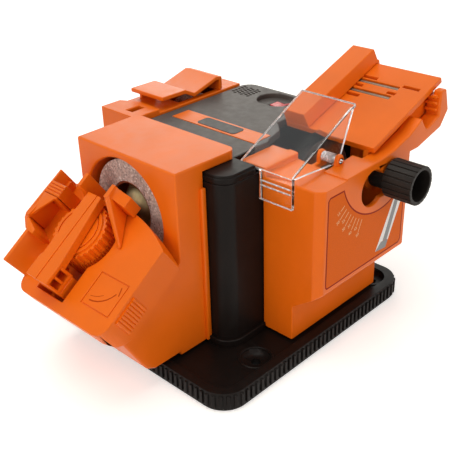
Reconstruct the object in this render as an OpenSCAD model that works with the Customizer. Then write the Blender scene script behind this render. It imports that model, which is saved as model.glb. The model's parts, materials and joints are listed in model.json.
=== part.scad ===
// Bench sharpener for drills, chisels, knives and scissors.
// Origin at the middle of the base's underside, +X along the motor away from the drill station, +Z up.

/* [Base] */
// Length of the base plate
base_l = 143; // [138:1:160]
// Width of the base plate
base_w = 134; // [130:1:150]
// Height of the base rim
base_h = 9.6; // [8.6:0.2:12]
// Depth of the field inside the rim
field_drop = 1; // [0.6:0.1:1.6]
// Width of the rim
rim_w = 5; // [3:0.5:6]
// Corner radius of the base
base_r = 13; // [8:1:18]
// Spacing of the ribs round the edge
rib_pitch = 3.3; // [3:0.1:6]
// How far a rib stands out
rib_out = 0.8; // [0.4:0.1:1.2]
// Bench screw spacing along the base
screw_dx = 96; // [94:1:100]
// Bench screw spacing across the base
screw_dy = 110; // [108:1:114]
// Middle of the bench screws along the base
screw_x = 10.5; // [8:0.5:12]
// Bench screw hole radius
screw_r = 2.5; // [2:0.1:3]

/* [Motor housing] */
// Front face of the housing
house_x0 = -41.5; // [-43:0.5:-40]
// Back face of the housing
house_x1 = 64; // [62:0.5:66]
// Half width of the housing
house_hw = 41; // [40.5:0.5:42]
// Height of the lower shell's top edge
house_top = 95.5; // [95:0.5:97]
// Wall of the housing
house_wall = 2.5; // [2:0.1:3]
// Corner radius of the housing
house_r = 8; // [6:0.5:10]
// Thickness of the top cover
cover_t = 4; // [3.6:0.1:5]

/* [Drive] */
// Height of both shafts
axis_z = 74; // [73:0.5:74]
// Place of the motor shaft across the base
motor_y = 9; // [8:0.5:10]
// Place of the cross shaft along the base
cross_x = 29; // [28.5:0.5:30]
// Shaft radius
shaft_r = 4; // [3.5:0.1:4.4]
// Radial running clearance of a shaft
run_gap = 0.03; // [0.02:0.01:0.08]
// Clearance between pieces that are only set together
seat_gap = 0.05; // [0.05:0.01:0.1]
// Bearing outer radius
bearing_r = 9; // [8.5:0.1:9.5]
// Bearing width
bearing_w = 5; // [4:0.5:5.5]
// Bevel gear pitch radius
gear_r = 9; // [8.5:0.25:9.5]
// Bevel gear face width along its axis
gear_w = 4; // [3:0.25:4]
// Teeth on each bevel gear
gear_teeth = 12; // [12:4:16]
// Stator outer radius
stator_r = 19.5; // [19:0.25:19.5]
// Armature radius
armature_r = 14; // [13:0.25:14.4]

/* [Grinding wheels] */
// Wheel radius
wheel_r = 24.75; // [24:0.25:25]
// Wheel bore radius
wheel_bore = 13.75; // [13.25:0.25:14]
// Wheel width
wheel_w = 11; // [10.5:0.25:11.5]
// Front face of the drill wheel
drill_wheel_x = -54.1; // [-54.5:0.1:-53.8]
// Radius of the chisel wheel
chisel_wheel_r = 21.5; // [21:0.25:22]
// How far the chisel wheel stands inside the housing's side
chisel_wheel_in = 0.5; // [0:0.25:1]
// Gap between the housing's side and the knife wheel
knife_wheel_out = 5; // [4.5:0.25:5.5]

/* [Drill station] */
// Front face of the drill housing
drill_x = -58.5; // [-59.5:0.5:-58]
// Right side of the drill housing
drill_y0 = -28.3; // [-29:0.1:-28]
// Left side of the drill housing
drill_y1 = 40.5; // [40:0.1:41]
// Top of the drill housing
drill_top = 104.2; // [104:0.1:106]
// Wall of the three station housings
skin = 2.5; // [2:0.1:2.6]
// Radius of the round mouth
mouth_r = 26.8; // [26.2:0.1:27.6]
// Slope of the drill holder
holder_tilt = 35; // [34:0.25:36]
// Depth of the drill holder's body
holder_t = 17; // [16.5:0.25:17.5]
// Gap between the holder and its dock
dock_gap = 0.3; // [0.2:0.05:0.5]
// Radius of the holder's pivot
pivot_r = 5; // [4:0.25:6]
// Size dial radius
dial_r = 15; // [14.4:0.1:15.2]
// Width of the feed bar
bar_w = 14.7; // [14:0.1:15.5]

/* [Chisel station] */
// Front face of the chisel housing
chisel_x0 = -16.5; // [-17.5:0.5:-16]
// Back face of the chisel housing
chisel_x1 = 53.5; // [53:0.5:55]
// Depth of the chisel housing beside the motor housing
chisel_depth = 34; // [33.5:0.25:35]
// Depth of the narrow foot of the side housings
foot_depth = 18.8; // [17:0.1:20]
// Top of the chisel housing
chisel_top = 94; // [93.5:0.25:94.5]
// Width of the arm along the top of the outer wall
arm_w = 8; // [7:0.25:8.5]
// Slope of the chisel plate at rest
plate_tilt = 19.4; // [18:0.1:21]
// Length of the chisel plate
plate_l = 60; // [58:0.5:62]
// Thickness of the chisel plate
plate_t = 3; // [2.6:0.1:3.2]
// Most that the plate tilts up from rest
plate_lift = 28; // [24:1:28]
// Width of the fence
fence_w = 15; // [14:0.25:16]
// Height of the fence
fence_h = 7.5; // [6.5:0.25:8.5]
// Lock knob radius
knob_r = 9.7; // [9:0.1:10]
// Lock knob length
knob_l = 15.5; // [14:0.25:16.5]

/* [Guard] */
// Thickness of the clear guard
guard_t = 1.8; // [1.4:0.1:2]
// Slope of the guard's top
guard_tilt = 26.6; // [25:0.1:28]
// Hinge pin radius
pin_r = 1.5; // [1.2:0.1:1.7]

/* [Knife station] */
// Front of the knife housing
knife_x0 = -21.5; // [-23:0.5:-20]
// Back of the knife housing
knife_x1 = 57.5; // [57:0.5:60]
// Depth of the knife housing beside the motor housing
knife_depth = 28; // [27.5:0.25:29]
// Roof of the knife housing
knife_top = 100.5; // [100:0.25:101.5]

/* [Hidden] */
$fn = 64;
big = 400;
field_z = base_h - field_drop;
cover_top = house_top + cover_t;
box_z = base_h + 0.1;
house_y = house_hw + 0.3;
house_l = house_x1 - house_x0;
house_xm = (house_x0 + house_x1) / 2;
chisel_wheel_y = chisel_wheel_in - house_hw;
knife_wheel_y = house_hw + knife_wheel_out;
chisel_y = -house_hw - chisel_depth;
knife_y = house_hw + knife_depth;
foot_y = -house_hw - foot_depth;

// The slope frame of the drill holder: u up the slope, n out of its top face
slope_x = -100.4;
slope_z = 52.1;
holder_end_x = -61.2;
end_arc_r = 80;
end_u = 47.6;
holder_y0 = -31;
holder_front_u = -10;
holder_y1 = 32;
wing_y1 = 42;
wing_u = 17;
dial_u = 26.5;
dial_y = 13.2;
pivot_u = 16;
pivot_y = 5;
pivot_len = 7;
trough_d = 10;
wall_h = 12;
jaw_u = 43;

// The tilt pivot of the chisel plate, just over the chisel wheel
tilt_x = cross_x;
tilt_z = axis_z + chisel_wheel_r + 4.1;
plate_y0 = chisel_y + 5;
plate_y1 = -17;
fence_y = plate_y1 - fence_w;
knob_x = 37.5;
knob_z = 83.8;
bracket_y = chisel_y + arm_w + 0.5;
bracket_t = 2.6;
skirt_h = 16;
rod_r = 1.2;
rod_s = [36.5, 44.5];
rod_drop = 2.4;
rod_y0 = -55;
hinge_x = 12.5;
hinge_z = 97;
guard_y0 = chisel_y + 14;
guard_y1 = 11.5 - house_hw;

orange = [0.88, 0.40, 0.10];
black = [0.11, 0.11, 0.11];
dark = [0.31, 0.31, 0.31];
steel = [0.70, 0.70, 0.72];
copper = [0.72, 0.40, 0.22];
grit = [0.56, 0.50, 0.48];
olive = [0.54, 0.51, 0.32];

// Rectangle with round corners, centred
module rounded(l, w, r) {
    square([l - 2 * r, w], center = true);
    square([l, w - 2 * r], center = true);
    for (sx = [-1, 1], sy = [-1, 1])
        translate([sx * (l / 2 - r), sy * (w / 2 - r)])
            circle(r);
}

// Round bar along X, Y or the slope normal
module along_x(x, l, r) {
    translate([x, 0, 0]) rotate([0, 90, 0]) cylinder(h = l, r = r);
}

module along_y(y, l, r) {
    translate([0, y, 0]) rotate([-90, 0, 0]) cylinder(h = l, r = r);
}

module on_motor() {
    translate([0, motor_y, axis_z]) children();
}

module on_cross() {
    translate([cross_x, 0, axis_z]) children();
}

module on_slope() {
    translate([slope_x, 0, slope_z]) rotate([0, -holder_tilt, 0]) children();
}

module on_plate() {
    translate([tilt_x, 0, tilt_z]) rotate([0, -plate_tilt, 0]) children();
}

// Outline in the XZ plane made solid from y0 to y1
module slab_y(y0, y1, points) {
    translate([0, y1, 0]) rotate([90, 0, 0]) linear_extrude(y1 - y0) polygon(points);
}

// Outline in the YZ plane made solid from x0 to x1
module slab_x(x0, x1, points) {
    translate([x0, 0, 0]) rotate([90, 0, 90]) linear_extrude(x1 - x0) polygon(points);
}

// Stations round the base edge: place, outward direction
function side_half(k) = (k % 2 == 0 ? base_l : base_w) / 2 - base_r;
function side_off(k) = (k % 2 == 0 ? base_w : base_l) / 2;
function dir(a) = [cos(a), sin(a)];
function side_stations(k) = let (h = side_half(k), n = floor(2 * h / rib_pitch))
    [for (i = [0:n - 1])
        [dir(90 * k - 90) * side_off(k) + dir(90 * k) * (h * (2 * i + 1) / n - h), 90 * k - 90]];
function corner_stations(k) = let (n = floor(PI / 2 * base_r / rib_pitch))
    [for (j = [0:n - 1]) let (a = 90 * k - 90 + 90 * (j + 0.5) / n)
        [dir(90 * k - 90) * (side_off(k) - base_r) + dir(90 * k) * side_half(k) + dir(a) * base_r, a]];
rib_stations = [for (k = [0:3]) each concat(side_stations(k), corner_stations(k))];
rib_outline = [for (s = rib_stations) each [
    s[0] - dir(s[1] + 90) * rib_pitch / 4,
    s[0] - dir(s[1] + 90) * rib_pitch / 4 + dir(s[1]) * rib_out,
    s[0] + dir(s[1] + 90) * rib_pitch / 4 + dir(s[1]) * rib_out,
    s[0] + dir(s[1] + 90) * rib_pitch / 4]];
rib_z = 1.4;

module bench_screws() {
    for (sx = [-1, 1], sy = [-1, 1])
        translate([screw_x + sx * screw_dx / 2, sy * screw_dy / 2, 0]) children();
}

pad_r = 7;
pad_t = 2;
pad_back = 16;
module pads(r, t) {
    for (sx = [-1, 1], sy = [-1, 1])
        translate([screw_x + sx * screw_dx / 2 - pad_back, sy * screw_dy / 2, 0]) cylinder(h = t, r = r);
}

module base_plate() {
    dish_r = 5.5;
    color(black) difference() {
        union() {
            linear_extrude(rib_z) rounded(base_l, base_w, base_r);
            translate([0, 0, rib_z]) linear_extrude(base_h - 2 * rib_z) polygon(rib_outline);
            translate([0, 0, base_h - rib_z]) linear_extrude(rib_z) rounded(base_l, base_w, base_r);
        }
        translate([0, 0, field_z]) linear_extrude(base_h)
            rounded(base_l - 2 * rim_w, base_w - 2 * rim_w, base_r - rim_w + 1);
        bench_screws() translate([0, 0, -1]) cylinder(h = base_h + 2, r = screw_r);
        bench_screws() translate([0, 0, field_z - 2])
            cylinder(h = base_h, r1 = dish_r - 1.5, r2 = dish_r + 5);
        translate([0, 0, -1]) pads(pad_r + seat_gap, pad_t + 1);
        screw_holes();
    }
}

module rubber_pads() {
    color([0.08, 0.08, 0.08]) pads(pad_r, pad_t);
}

// Opening of the cover and the pit round the chisel wheel
pit_wall_y = chisel_wheel_y + wheel_w + 3;
pit_t = 2.5;
pit_r = wheel_r + 1.8;
module pit_opening() {
    linear_extrude(big) polygon([[cross_x - pit_r, -big], [cross_x - pit_r + 2, pit_wall_y],
        [cross_x - 11, pit_wall_y + 4], [cross_x - 6, pit_wall_y + 9], [cross_x - 4, plate_y1 + 2],
        [cross_x + pit_r - 4, plate_y1 + 2], [cross_x + pit_r, -big]]);
}

hook_y = 10 - house_hw;
hook_x1 = 6.5;
hook_t = 1.2;
foot_out = 2;
foot_h = 4;
module motor_housing() {
    color(black) difference() {
        union() {
            translate([house_xm, 0, field_z]) linear_extrude(house_top - field_z)
                rounded(house_l, 2 * house_hw, house_r);
            translate([house_xm, 0, field_z]) linear_extrude(foot_h) difference() {
                rounded(house_l + 2 * foot_out, 2 * house_hw + 2 * foot_out, house_r + foot_out);
                translate([-big / 2, house_hw]) square(big);
                translate([chisel_x0 - house_xm, -big]) square([big, big - house_hw]);
                translate([-big - house_l / 2, drill_y0]) square(big);
            }
        }
        difference() {
            translate([house_xm, 0, field_z + house_wall]) linear_extrude(big)
                rounded(house_l - 2 * house_wall, 2 * (house_hw - house_wall), house_r - house_wall);
            translate([house_x0, pit_wall_y, 0])
                cube([house_l, pit_t, house_top]);
            translate([cross_x - pit_r, pit_wall_y, house_top - 6])
                cube([2 * pit_r, plate_y1 - pit_wall_y + 5, pit_t]);
            on_motor() along_x(house_x0, house_wall + bearing_w, bearing_r + 3);
            on_cross() along_y(house_hw - house_wall - bearing_w, bearing_w + house_wall, bearing_r + 3);
        }
        on_cross() along_y(-big / 2, big / 2 + pit_wall_y, pit_r);
        translate([cross_x - pit_r, -big / 2, axis_z]) cube([2 * pit_r, big / 2 + pit_wall_y, big]);
        on_cross() along_y(pit_wall_y - 1, pit_t + 2, shaft_r + 2);
        on_cross() along_y(house_hw - house_wall - bearing_w - 1, bearing_w + 1, bearing_r + seat_gap);
        on_cross() along_y(house_hw - house_wall - 1, house_wall + 3, shaft_r + 2);
        on_motor() along_x(house_x0 + house_wall, bearing_w + 2, bearing_r + seat_gap);
        on_motor() along_x(house_x0 - 1, house_wall + 3, shaft_r + 2);
        translate([house_x1 - house_wall - 1, inlet_y, inlet_z])
            along_x(0, house_wall + 2, inlet_r + seat_gap);
        screw_holes();
    }
}

vent_n = [5, 6];
vent_step = 2.4;
recess_x = 51.5;
recess_y = 9;
recess_l = 18;
recess_w = 22;
recess_d = 2.6;
rocker_x = 7.4;
rocker_y = 12;
module recess_shape(l, w) {
    rounded(l, w, l / 2 - 0.01);
}

module top_cover() {
    color(dark) difference() {
        union() {
            translate([house_xm, 0, house_top]) linear_extrude(cover_t - 1.2)
                rounded(house_l, 2 * house_hw, house_r);
            translate([house_xm, 0, cover_top - 1.2]) linear_extrude(1.2)
                rounded(house_l - 1.2, 2 * house_hw - 1.2, house_r - 0.6);
        }
        pit_opening();
        translate([guard_x0 - 1, -big, house_top - 1])
            cube([hook_x1 - guard_x0 + 9, big + hook_y + 3.4, big]);
        translate([recess_x, recess_y, cover_top - recess_d]) linear_extrude(big)
            recess_shape(recess_l, recess_w);
        translate([recess_x - rocker_x / 2, recess_y - recess_w / 2 + 1.5, house_top - 1])
            cube([rocker_x, rocker_y, big]);
        for (i = [0:vent_n[0] - 1], j = [0:vent_n[1] - 1])
            translate([46 + i * vent_step + (j % 2) * vent_step / 2, 25 + j * vent_step, house_top - 1])
                cylinder(h = big, r = 0.7);
        translate([label_x0, label_y0, cover_top - label_t]) linear_extrude(big) square([label_l, label_w]);
    }
}

label_x0 = -2.3;
label_l = 11.7;
label_y0 = -23.8;
label_w = 58;
label_t = 1;
field_l = 8.5;
field_w = 26.3;
module label_strip() {
    color(orange) difference() {
        translate([label_x0 + seat_gap, label_y0 + seat_gap, cover_top - label_t])
            linear_extrude(label_t + 0.2) square([label_l - 2 * seat_gap, label_w - 2 * seat_gap]);
        label_field_solid(0.05, big);
    }
}

module label_field_solid(grow, h) {
    translate([label_x0 + label_l / 2, 4.85, cover_top - label_t + 0.4])
        linear_extrude(h) rounded(field_l + 2 * grow, field_w + 2 * grow, 2);
}

module label_field() {
    color(dark) label_field_solid(0, label_t);
}

module screw_places() {
    for (p = [[house_x0 + 12, -30], [house_x0 + 12, 32], [house_x1 - 8, -32], [house_x1 - 8, 36]])
        translate([p[0], p[1], 0]) children();
}

head_r = 3;
head_h = 2.2;
head_z = 3.6;
stem_r = 1.6;
stem_l = 12;
module housing_screws() {
    color(steel) screw_places() {
        translate([0, 0, head_z - head_h]) cylinder(h = head_h, r = head_r);
        translate([0, 0, head_z]) cylinder(h = stem_l, r = stem_r);
    }
}

module screw_holes() {
    screw_places() {
        translate([0, 0, -1]) cylinder(h = head_z + 1, r = head_r + 0.2);
        translate([0, 0, -1]) cylinder(h = head_z + stem_l + 2, r = stem_r + seat_gap);
    }
}

// Outline of the drill housing in the XZ plane, from its back foot round the chute and the dock
function dock_x(u, drop) = slope_x + u * cos(holder_tilt) + drop * sin(holder_tilt);
function dock_z(u, drop) = slope_z + u * sin(holder_tilt) - drop * cos(holder_tilt);
dock_drop = holder_t + dock_gap;
dock_top_u = (drill_x - slope_x - dock_drop * sin(holder_tilt)) / cos(holder_tilt);
chute_u = -5;
function drill_outline(g) = [
    [house_x0, box_z + g], [-61 + g, box_z + g], [-62 + g, box_z + 2 + g], [-78 + g * 0.5, box_z + 2 + g],
    [-82.5 + g, box_z + 4.2 + g * 0.4], [-85 + g, box_z + 8],
    [dock_x(chute_u, dock_drop) + g, dock_z(chute_u, dock_drop) - 1 - g],
    [dock_x(chute_u, dock_drop) + g, dock_z(chute_u, dock_drop) - g],
    [drill_x + g, dock_z(dock_top_u, dock_drop) - g],
    [drill_x + g, drill_top - g], [house_x0, drill_top - g]];

lip_x1 = -20.2;
module drill_housing() {
    color(orange) difference() {
        union() {
            slab_y(drill_y0, drill_y1, drill_outline(0));
            translate([drill_x, drill_y0, cover_top + 0.2])
                cube([lip_x1 - drill_x, drill_y1 - drill_y0, drill_top - cover_top - 0.2]);
        }
        slab_y(drill_y0 + skin, drill_y1 - skin, concat(drill_outline(skin),
            [[house_x0 + 1, drill_top - skin],
            [house_x0 + 1, box_z + skin]]));
        on_motor() along_x(drill_x - 1, skin + 2, mouth_r);
        on_slope() translate([pivot_u, pivot_y, -dock_drop - pivot_len - 1])
            cylinder(h = dock_drop + pivot_len, r = pivot_r + seat_gap);
    }
    color(orange) difference() {
        on_motor() along_x(drill_x + skin / 2, house_x0 - drill_x - skin / 2 - 0.4, mouth_r + 1.6);
        on_motor() along_x(drill_x - 1, big, mouth_r);
        translate([-big / 2, drill_y1 - skin / 2, 0]) cube(big);
    }
}

// Outline of the chisel housing across the base, from the housing round the narrow foot
function chisel_section(g) = [
    [-house_y, box_z + g], [foot_y + g, box_z + g], [foot_y + g, 29 + g * 0.6],
        [chisel_y + g, 40 + g * 0.6],
    [chisel_y + g, chisel_top - g], [-house_y, chisel_top - g]];
slot_ring = norm([knob_x - tilt_x, knob_z - tilt_z]);
knob_angle = atan2(knob_z - tilt_z, knob_x - tilt_x);
shank_r = 7;
slot_half = 6;
window_r = 9;
window_angle = -108;
module knob_slot() {
    translate([tilt_x, chisel_y - 1, tilt_z]) rotate([-90, 0, 0]) {
        rotate(-knob_angle) rotate_extrude(angle = knob_angle - window_angle)
            translate([slot_ring - slot_half, 0]) square([2 * slot_half, arm_w + 2]);
        rotate(-window_angle) translate([slot_ring, 0, 0]) cylinder(h = arm_w + 2, r = window_r);
    }
    translate([knob_x, 0, knob_z]) along_y(chisel_y - 1, arm_w + 2, shank_r + run_gap);
}

module guard_ear(y, t) {
    difference() {
        slab_y(y, y + t, [[hook_x1 - 3, chisel_top - skin], [hinge_x + 2.6, chisel_top - skin],
            [hinge_x + 2.6, hinge_z], [hinge_x + 1.5, hinge_z + 2.8], [hinge_x - 1.5, hinge_z + 2.8],
            [hinge_x - 2.6, hinge_z], [hinge_x - 2.6, chisel_top], [hook_x1 - 3, chisel_top]]);
        translate([hinge_x, 0, hinge_z]) along_y(y - 1, t + 2, pin_r + seat_gap);
    }
}

ear_t = 2.4;
arm_x0 = 2.4;
lug_x = 78.2;
lug_z = 115.3;
tooth_t = 1.4;
corner_cut = 3.4;
barrel_l = 8;
barrel_r = 2.4;
module chisel_housing() {
    open_y = chisel_y + arm_w;
    wide_y = guard_y0 - 0.5;
    wide_x1 = arm_x0 + 22;
    color(orange) {
        guard_ear(guard_y0 - ear_t - 0.3, ear_t);
        guard_ear(guard_y0 + barrel_l + 0.3, ear_t);
    }
    color(orange) difference() {
        union() {
            slab_x(chisel_x0, chisel_x1, chisel_section(0));
            slab_y(chisel_y, open_y, [[arm_x0, chisel_top - skin], [arm_x0, chisel_top + 0.6],
                [20, chisel_top + 1.2],
                [29.5, 95.6], [39.1, 96.6], [53, 100.6], [62.2, 105.8], [66.9, 99.2], [69, 99.2],
                    [lug_x, 102.6],
                [lug_x + 0.3, lug_z], [lug_x + 5, lug_z], [86.8, 103.7], [80.8, 95.9], [60.5, 91],
                    [chisel_x1, 91],
                [chisel_x1, 86], [20, 86]]);
            slab_y(chisel_y, wide_y, [[arm_x0, chisel_top - skin], [arm_x0, chisel_top + 0.6],
                [20, chisel_top + 1.2], [wide_x1, chisel_top + 1.4], [wide_x1, chisel_top - skin]]);
            translate([chisel_x0, -house_y, house_top + 0.2])
                cube([hook_x1 - chisel_x0, house_y + hook_y + 3, hook_t]);
            translate([chisel_x0, -house_y - skin, chisel_top - skin])
                cube([hook_x1 - chisel_x0, skin, house_top - chisel_top + skin + hook_t + 0.2]);
            for (i = [0:2]) translate([lug_x - tooth_t, chisel_y + 1.5, 104.5 + i * 3.4])
                cube([tooth_t + 1, arm_w - 1.5, 1.7]);
        }
        difference() {
            slab_x(chisel_x0 + skin, chisel_x1 - skin, concat(chisel_section(skin),
                [[-house_y + 1, chisel_top - skin], [-house_y + 1, box_z + skin]]));
            slab_y(chisel_y, open_y, [[20, 86], [20, 100], [62, 108], [62, 94], [chisel_x1, 86]]);
        }
        translate([hook_x1, wide_y, chisel_top - skin - 1]) cube([wide_x1 - hook_x1, big, skin + 2]);
        translate([wide_x1 - 0.1, open_y, chisel_top - skin - 1])
            cube([chisel_x1 - wide_x1 - skin, big, skin + 2]);
        translate([chisel_x1 - skin - 1, open_y, chisel_top - skin - 1]) cube([skin + 2, big, big]);
        translate([chisel_x1 - skin - 1, open_y, knob_z - 4]) cube([skin + 2, 2 * bracket_t, big]);
        translate([hook_x1, -house_y - 1, chisel_top - skin - 1]) cube([big, big, skin + 2]);
        translate([0, 0, box_z]) linear_extrude(chisel_top) polygon([[chisel_x0 - 1, chisel_y - 1],
            [chisel_x0 + corner_cut, chisel_y - 1],
            [chisel_x0 + corner_cut, chisel_y], [chisel_x0, chisel_y + corner_cut],
                [chisel_x0 - 1, chisel_y + corner_cut]]);
        translate([lug_x - 2, plate_y0 - 0.5, lug_z - 3]) cube([12, 10, 5]);
        knob_slot();
    }
}

function knife_section(g) = [
    [house_y, box_z + g], [-foot_y - g, box_z + g], [-foot_y - g, 29 + g * 0.6],
        [knife_y - g, 40 + g * 0.6],
    [knife_y - g, knife_top - g], [house_y, knife_top - g]];
slot_w = 5;
module knife_housing() {
    color(orange) difference() {
        union() {
            slab_x(knife_x0, knife_x1, knife_section(0));
            translate([0, 0, knife_top - 0.5]) linear_extrude(2.4)
                polygon([[knife_x0, house_y], [knife_x0, knife_y], [knife_x0 + 13, knife_y],
                    [knife_x0 + 18, knife_y - 10], [knife_x0 + 17, house_y]]);
        }
        slab_x(knife_x0 + skin, knife_x1 - skin, concat(knife_section(skin),
            [[house_y - 1, knife_top - skin], [house_y - 1, box_z + skin]]));
        translate([knife_x0 + 5, house_y + 8, knife_top - skin - 1]) cube([9, slot_w, 9]);
        translate([cross_x - 16, knife_wheel_y - 1, knife_top - skin - 1])
            cube([32, wheel_w + 2, skin + 2]);
    }
}

flap_t = 2.2;
hold_x1 = 43.4;
module knife_hold_down() {
    y0 = house_y + 0.7;
    y1 = knife_y - 1.5;
    z = knife_top + 0.05;
    top = [[-1.5, z + 7], [15.5, z + 6.8], [22, z + 3.4], [39.5, z + 8.2], [hold_x1, z + 7.4]];
    color(orange) union() {
        slab_y(y0, y1, concat(top, [[hold_x1, z], [hold_x1 - flap_t, z], [hold_x1 - flap_t, z + 5.8],
            [38.8, z + 8.1 - flap_t], [22, z + 3.3 - flap_t], [15.2, z + 6.7 - flap_t],
                [-1.5, z + 7 - flap_t]]));
        slab_y(y1 - flap_t, y1, [[4, z], [15, z], [15, z + 5], [4, z + 5]]);
        slab_y(y1 - flap_t, y1, [[33, z], [42, z], [42, z + 6.4], [33, z + 5]]);
    }
}

// Frame that carries the inner end of the motor shaft and the cross shaft's bearing beside the pit
frame_x = cross_x - gear_r - 9;
frame_z0 = field_z + house_wall;
cross_seat_y = pit_wall_y + pit_t + 0.1;
module bearing_frame() {
    plate = bearing_w;
    color([0.55, 0.56, 0.58]) difference() {
        union() {
            translate([frame_x, motor_y - 14, frame_z0]) cube([plate, 28, axis_z - frame_z0]);
            on_motor() along_x(frame_x, plate, 14);
            translate([cross_x - 13, cross_seat_y, frame_z0]) cube([26, plate, axis_z - frame_z0]);
            on_cross() along_y(cross_seat_y, plate, 13);
            translate([frame_x, cross_seat_y, frame_z0])
                cube([cross_x + 13 - frame_x, motor_y + 14 - cross_seat_y, 4]);
        }
        on_motor() along_x(frame_x - 1, plate + 2, bearing_r + seat_gap);
        on_cross() along_y(cross_seat_y - 1, plate + 2, bearing_r + seat_gap);
    }
}

stator_x = -24;
stator_l = 20;
module motor_cradle() {
    color([0.14, 0.14, 0.15]) for (x = [stator_x + 2, stator_x + stator_l - 6]) difference() {
        translate([x, motor_y - 22, frame_z0]) cube([4, 44, axis_z - frame_z0 - 4]);
        on_motor() along_x(x - 1, 6, stator_r + seat_gap);
        translate([x - 1, motor_y - 14, frame_z0 - 1]) cube([6, 28, 30]);
    }
}

module stator() {
    color(steel) on_motor() difference() {
        along_x(stator_x, stator_l, stator_r);
        along_x(stator_x - 1, stator_l + 2, armature_r + 0.5);
        for (a = [0, 180]) rotate([a, 0, 0]) translate([stator_x - 1, -9, armature_r - 1])
            cube([stator_l + 2, 18, 3]);
    }
}

coil_l = 4;
module field_coils() {
    color(copper) on_motor() for (x = [stator_x - coil_l, stator_x + stator_l])
        difference() {
            along_x(x, coil_l, stator_r - 1);
            along_x(x - 1, coil_l + 2, armature_r + 1.2);
        }
}

comm_x = 2.5;
comm_l = 7;
comm_r = 7.5;
brush_z = 3;
module brush_holders() {
    color([0.2, 0.16, 0.1]) on_motor() for (s = [-1, 1]) difference() {
        translate([comm_x + 1, s > 0 ? comm_r + 2 : -comm_r - 13, -4])
            cube([frame_x - comm_x - 1 - seat_gap, 11, 8]);
        translate([comm_x + 2, s > 0 ? comm_r + 1 : -comm_r - 14, -brush_z + 0.5])
            cube([comm_l - 4, 13, 2 * brush_z - 1]);
    }
}

module carbon_brushes() {
    color([0.18, 0.18, 0.2]) on_motor() for (s = [-1, 1])
        translate([comm_x + 2.1, s > 0 ? comm_r + 0.3 : -comm_r - 8.3, -brush_z + 0.6])
            cube([comm_l - 4.2, 8, 2 * brush_z - 1.2]);
}

module bearing_x(x) {
    on_motor() difference() {
        along_x(x, bearing_w, bearing_r);
        along_x(x - 1, bearing_w + 2, shaft_r + run_gap);
    }
}

module bearing_y(y) {
    on_cross() difference() {
        along_y(y, bearing_w, bearing_r);
        along_y(y - 1, bearing_w + 2, shaft_r + run_gap);
    }
}

module motor_bearings() {
    color(steel) {
        bearing_x(house_x0 + house_wall + seat_gap);
        bearing_x(frame_x);
    }
}

module cross_bearings() {
    color(steel) {
        bearing_y(cross_seat_y);
        bearing_y(house_hw - house_wall - bearing_w - seat_gap);
    }
}

switch_z0 = 74;
rocker_pivot_y = recess_y - recess_w / 2 + 1.5 + rocker_y / 2;
rocker_pivot_z = house_top - 1.6;
module switch_body() {
    w = rocker_x + 3;
    l = rocker_y + 3;
    color(black) difference() {
        translate([recess_x - w / 2, rocker_pivot_y - l / 2, switch_z0])
            cube([w, l, house_top - switch_z0 - 0.1]);
        translate([recess_x - rocker_x / 2, rocker_pivot_y - rocker_y / 2, house_top - 7])
            cube([rocker_x, rocker_y, 9]);
        translate([0, rocker_pivot_y, rocker_pivot_z]) along_x(recess_x - w, 2 * w, 1.2 + run_gap);
    }
}

module switch_rocker() {
    h = cover_top - rocker_pivot_z;
    color([0.82, 0.16, 0.18]) translate([0, rocker_pivot_y, rocker_pivot_z]) rotate([-7, 0, 0]) {
        slab_x(recess_x - rocker_x / 2 + 0.35, recess_x + rocker_x / 2 - 0.35, [[-5, h - 1.6],
            [0, h - 2.6], [5, h - 1.6],
            [4, -2], [0, -3.4], [-4, -2]]);
        along_x(recess_x - rocker_x / 2 - 1.2, rocker_x + 2.4, 1.2);
    }
}

inlet_r = 6;
inlet_y = 9;
inlet_z = 24;
module cord_inlet() {
    color(black) translate([0, inlet_y, inlet_z]) difference() {
        union() {
            along_x(house_x1 - house_wall - 1, house_wall + 3, inlet_r);
            along_x(house_x1, 2.5, inlet_r + 1.8);
            along_x(house_x1 - house_wall - 2.5, 2.5, inlet_r + 1.8);
        }
        along_x(house_x1 - 12, 24, 3.2);
    }
}

shaft_x0 = drill_wheel_x + 0.8;
shaft_x1 = cross_x - gear_r + gear_w;
module motor_shaft() {
    color(steel) on_motor() along_x(shaft_x0, shaft_x1 - shaft_x0, shaft_r);
}

module armature() {
    slots = 12;
    color([0.45, 0.40, 0.36]) on_motor() difference() {
        along_x(stator_x, stator_l, armature_r);
        along_x(stator_x - 1, stator_l + 2, shaft_r);
        for (i = [0:slots - 1]) rotate([i * 360 / slots, 0, 0])
            translate([stator_x - 1, -1, armature_r - 3]) cube([stator_l + 2, 2, 4]);
    }
}

module commutator() {
    color(copper) on_motor() difference() {
        along_x(comm_x, comm_l, comm_r);
        along_x(comm_x - 1, comm_l + 2, shaft_r);
    }
}

fan_x = -33.4;
fan_l = 5;
module cooling_fan() {
    blades = 10;
    color(black) on_motor() difference() {
        union() {
            along_x(fan_x, fan_l, 7);
            along_x(fan_x, 1.4, 16);
            for (i = [0:blades - 1]) rotate([i * 360 / blades, 0, 0])
                translate([fan_x, -0.7, 6]) cube([fan_l, 1.4, 12]);
        }
        along_x(fan_x - 1, fan_l + 2, shaft_r);
    }
}

// Bevel gear on +Z, large end at 0, its cone closing at the pitch radius above
module bevel(phase) {
    tip = gear_r + 0.8;
    root = gear_r - 1.4;
    difference() {
        union() {
            rotate(phase) linear_extrude(gear_w, scale = 1 - gear_w / gear_r)
                polygon([for (i = [0:gear_teeth - 1])
                    each let (a = i * 360 / gear_teeth, p = 360 / gear_teeth)
                    [dir(a - 0.28 * p) * root, dir(a - 0.13 * p) * tip,
                        dir(a + 0.13 * p) * tip, dir(a + 0.28 * p) * root]]);
            translate([0, 0, -3]) cylinder(h = 3, r = shaft_r + 2.5);
        }
        translate([0, 0, -4]) cylinder(h = gear_w + 8, r = shaft_r);
    }
}

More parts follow.
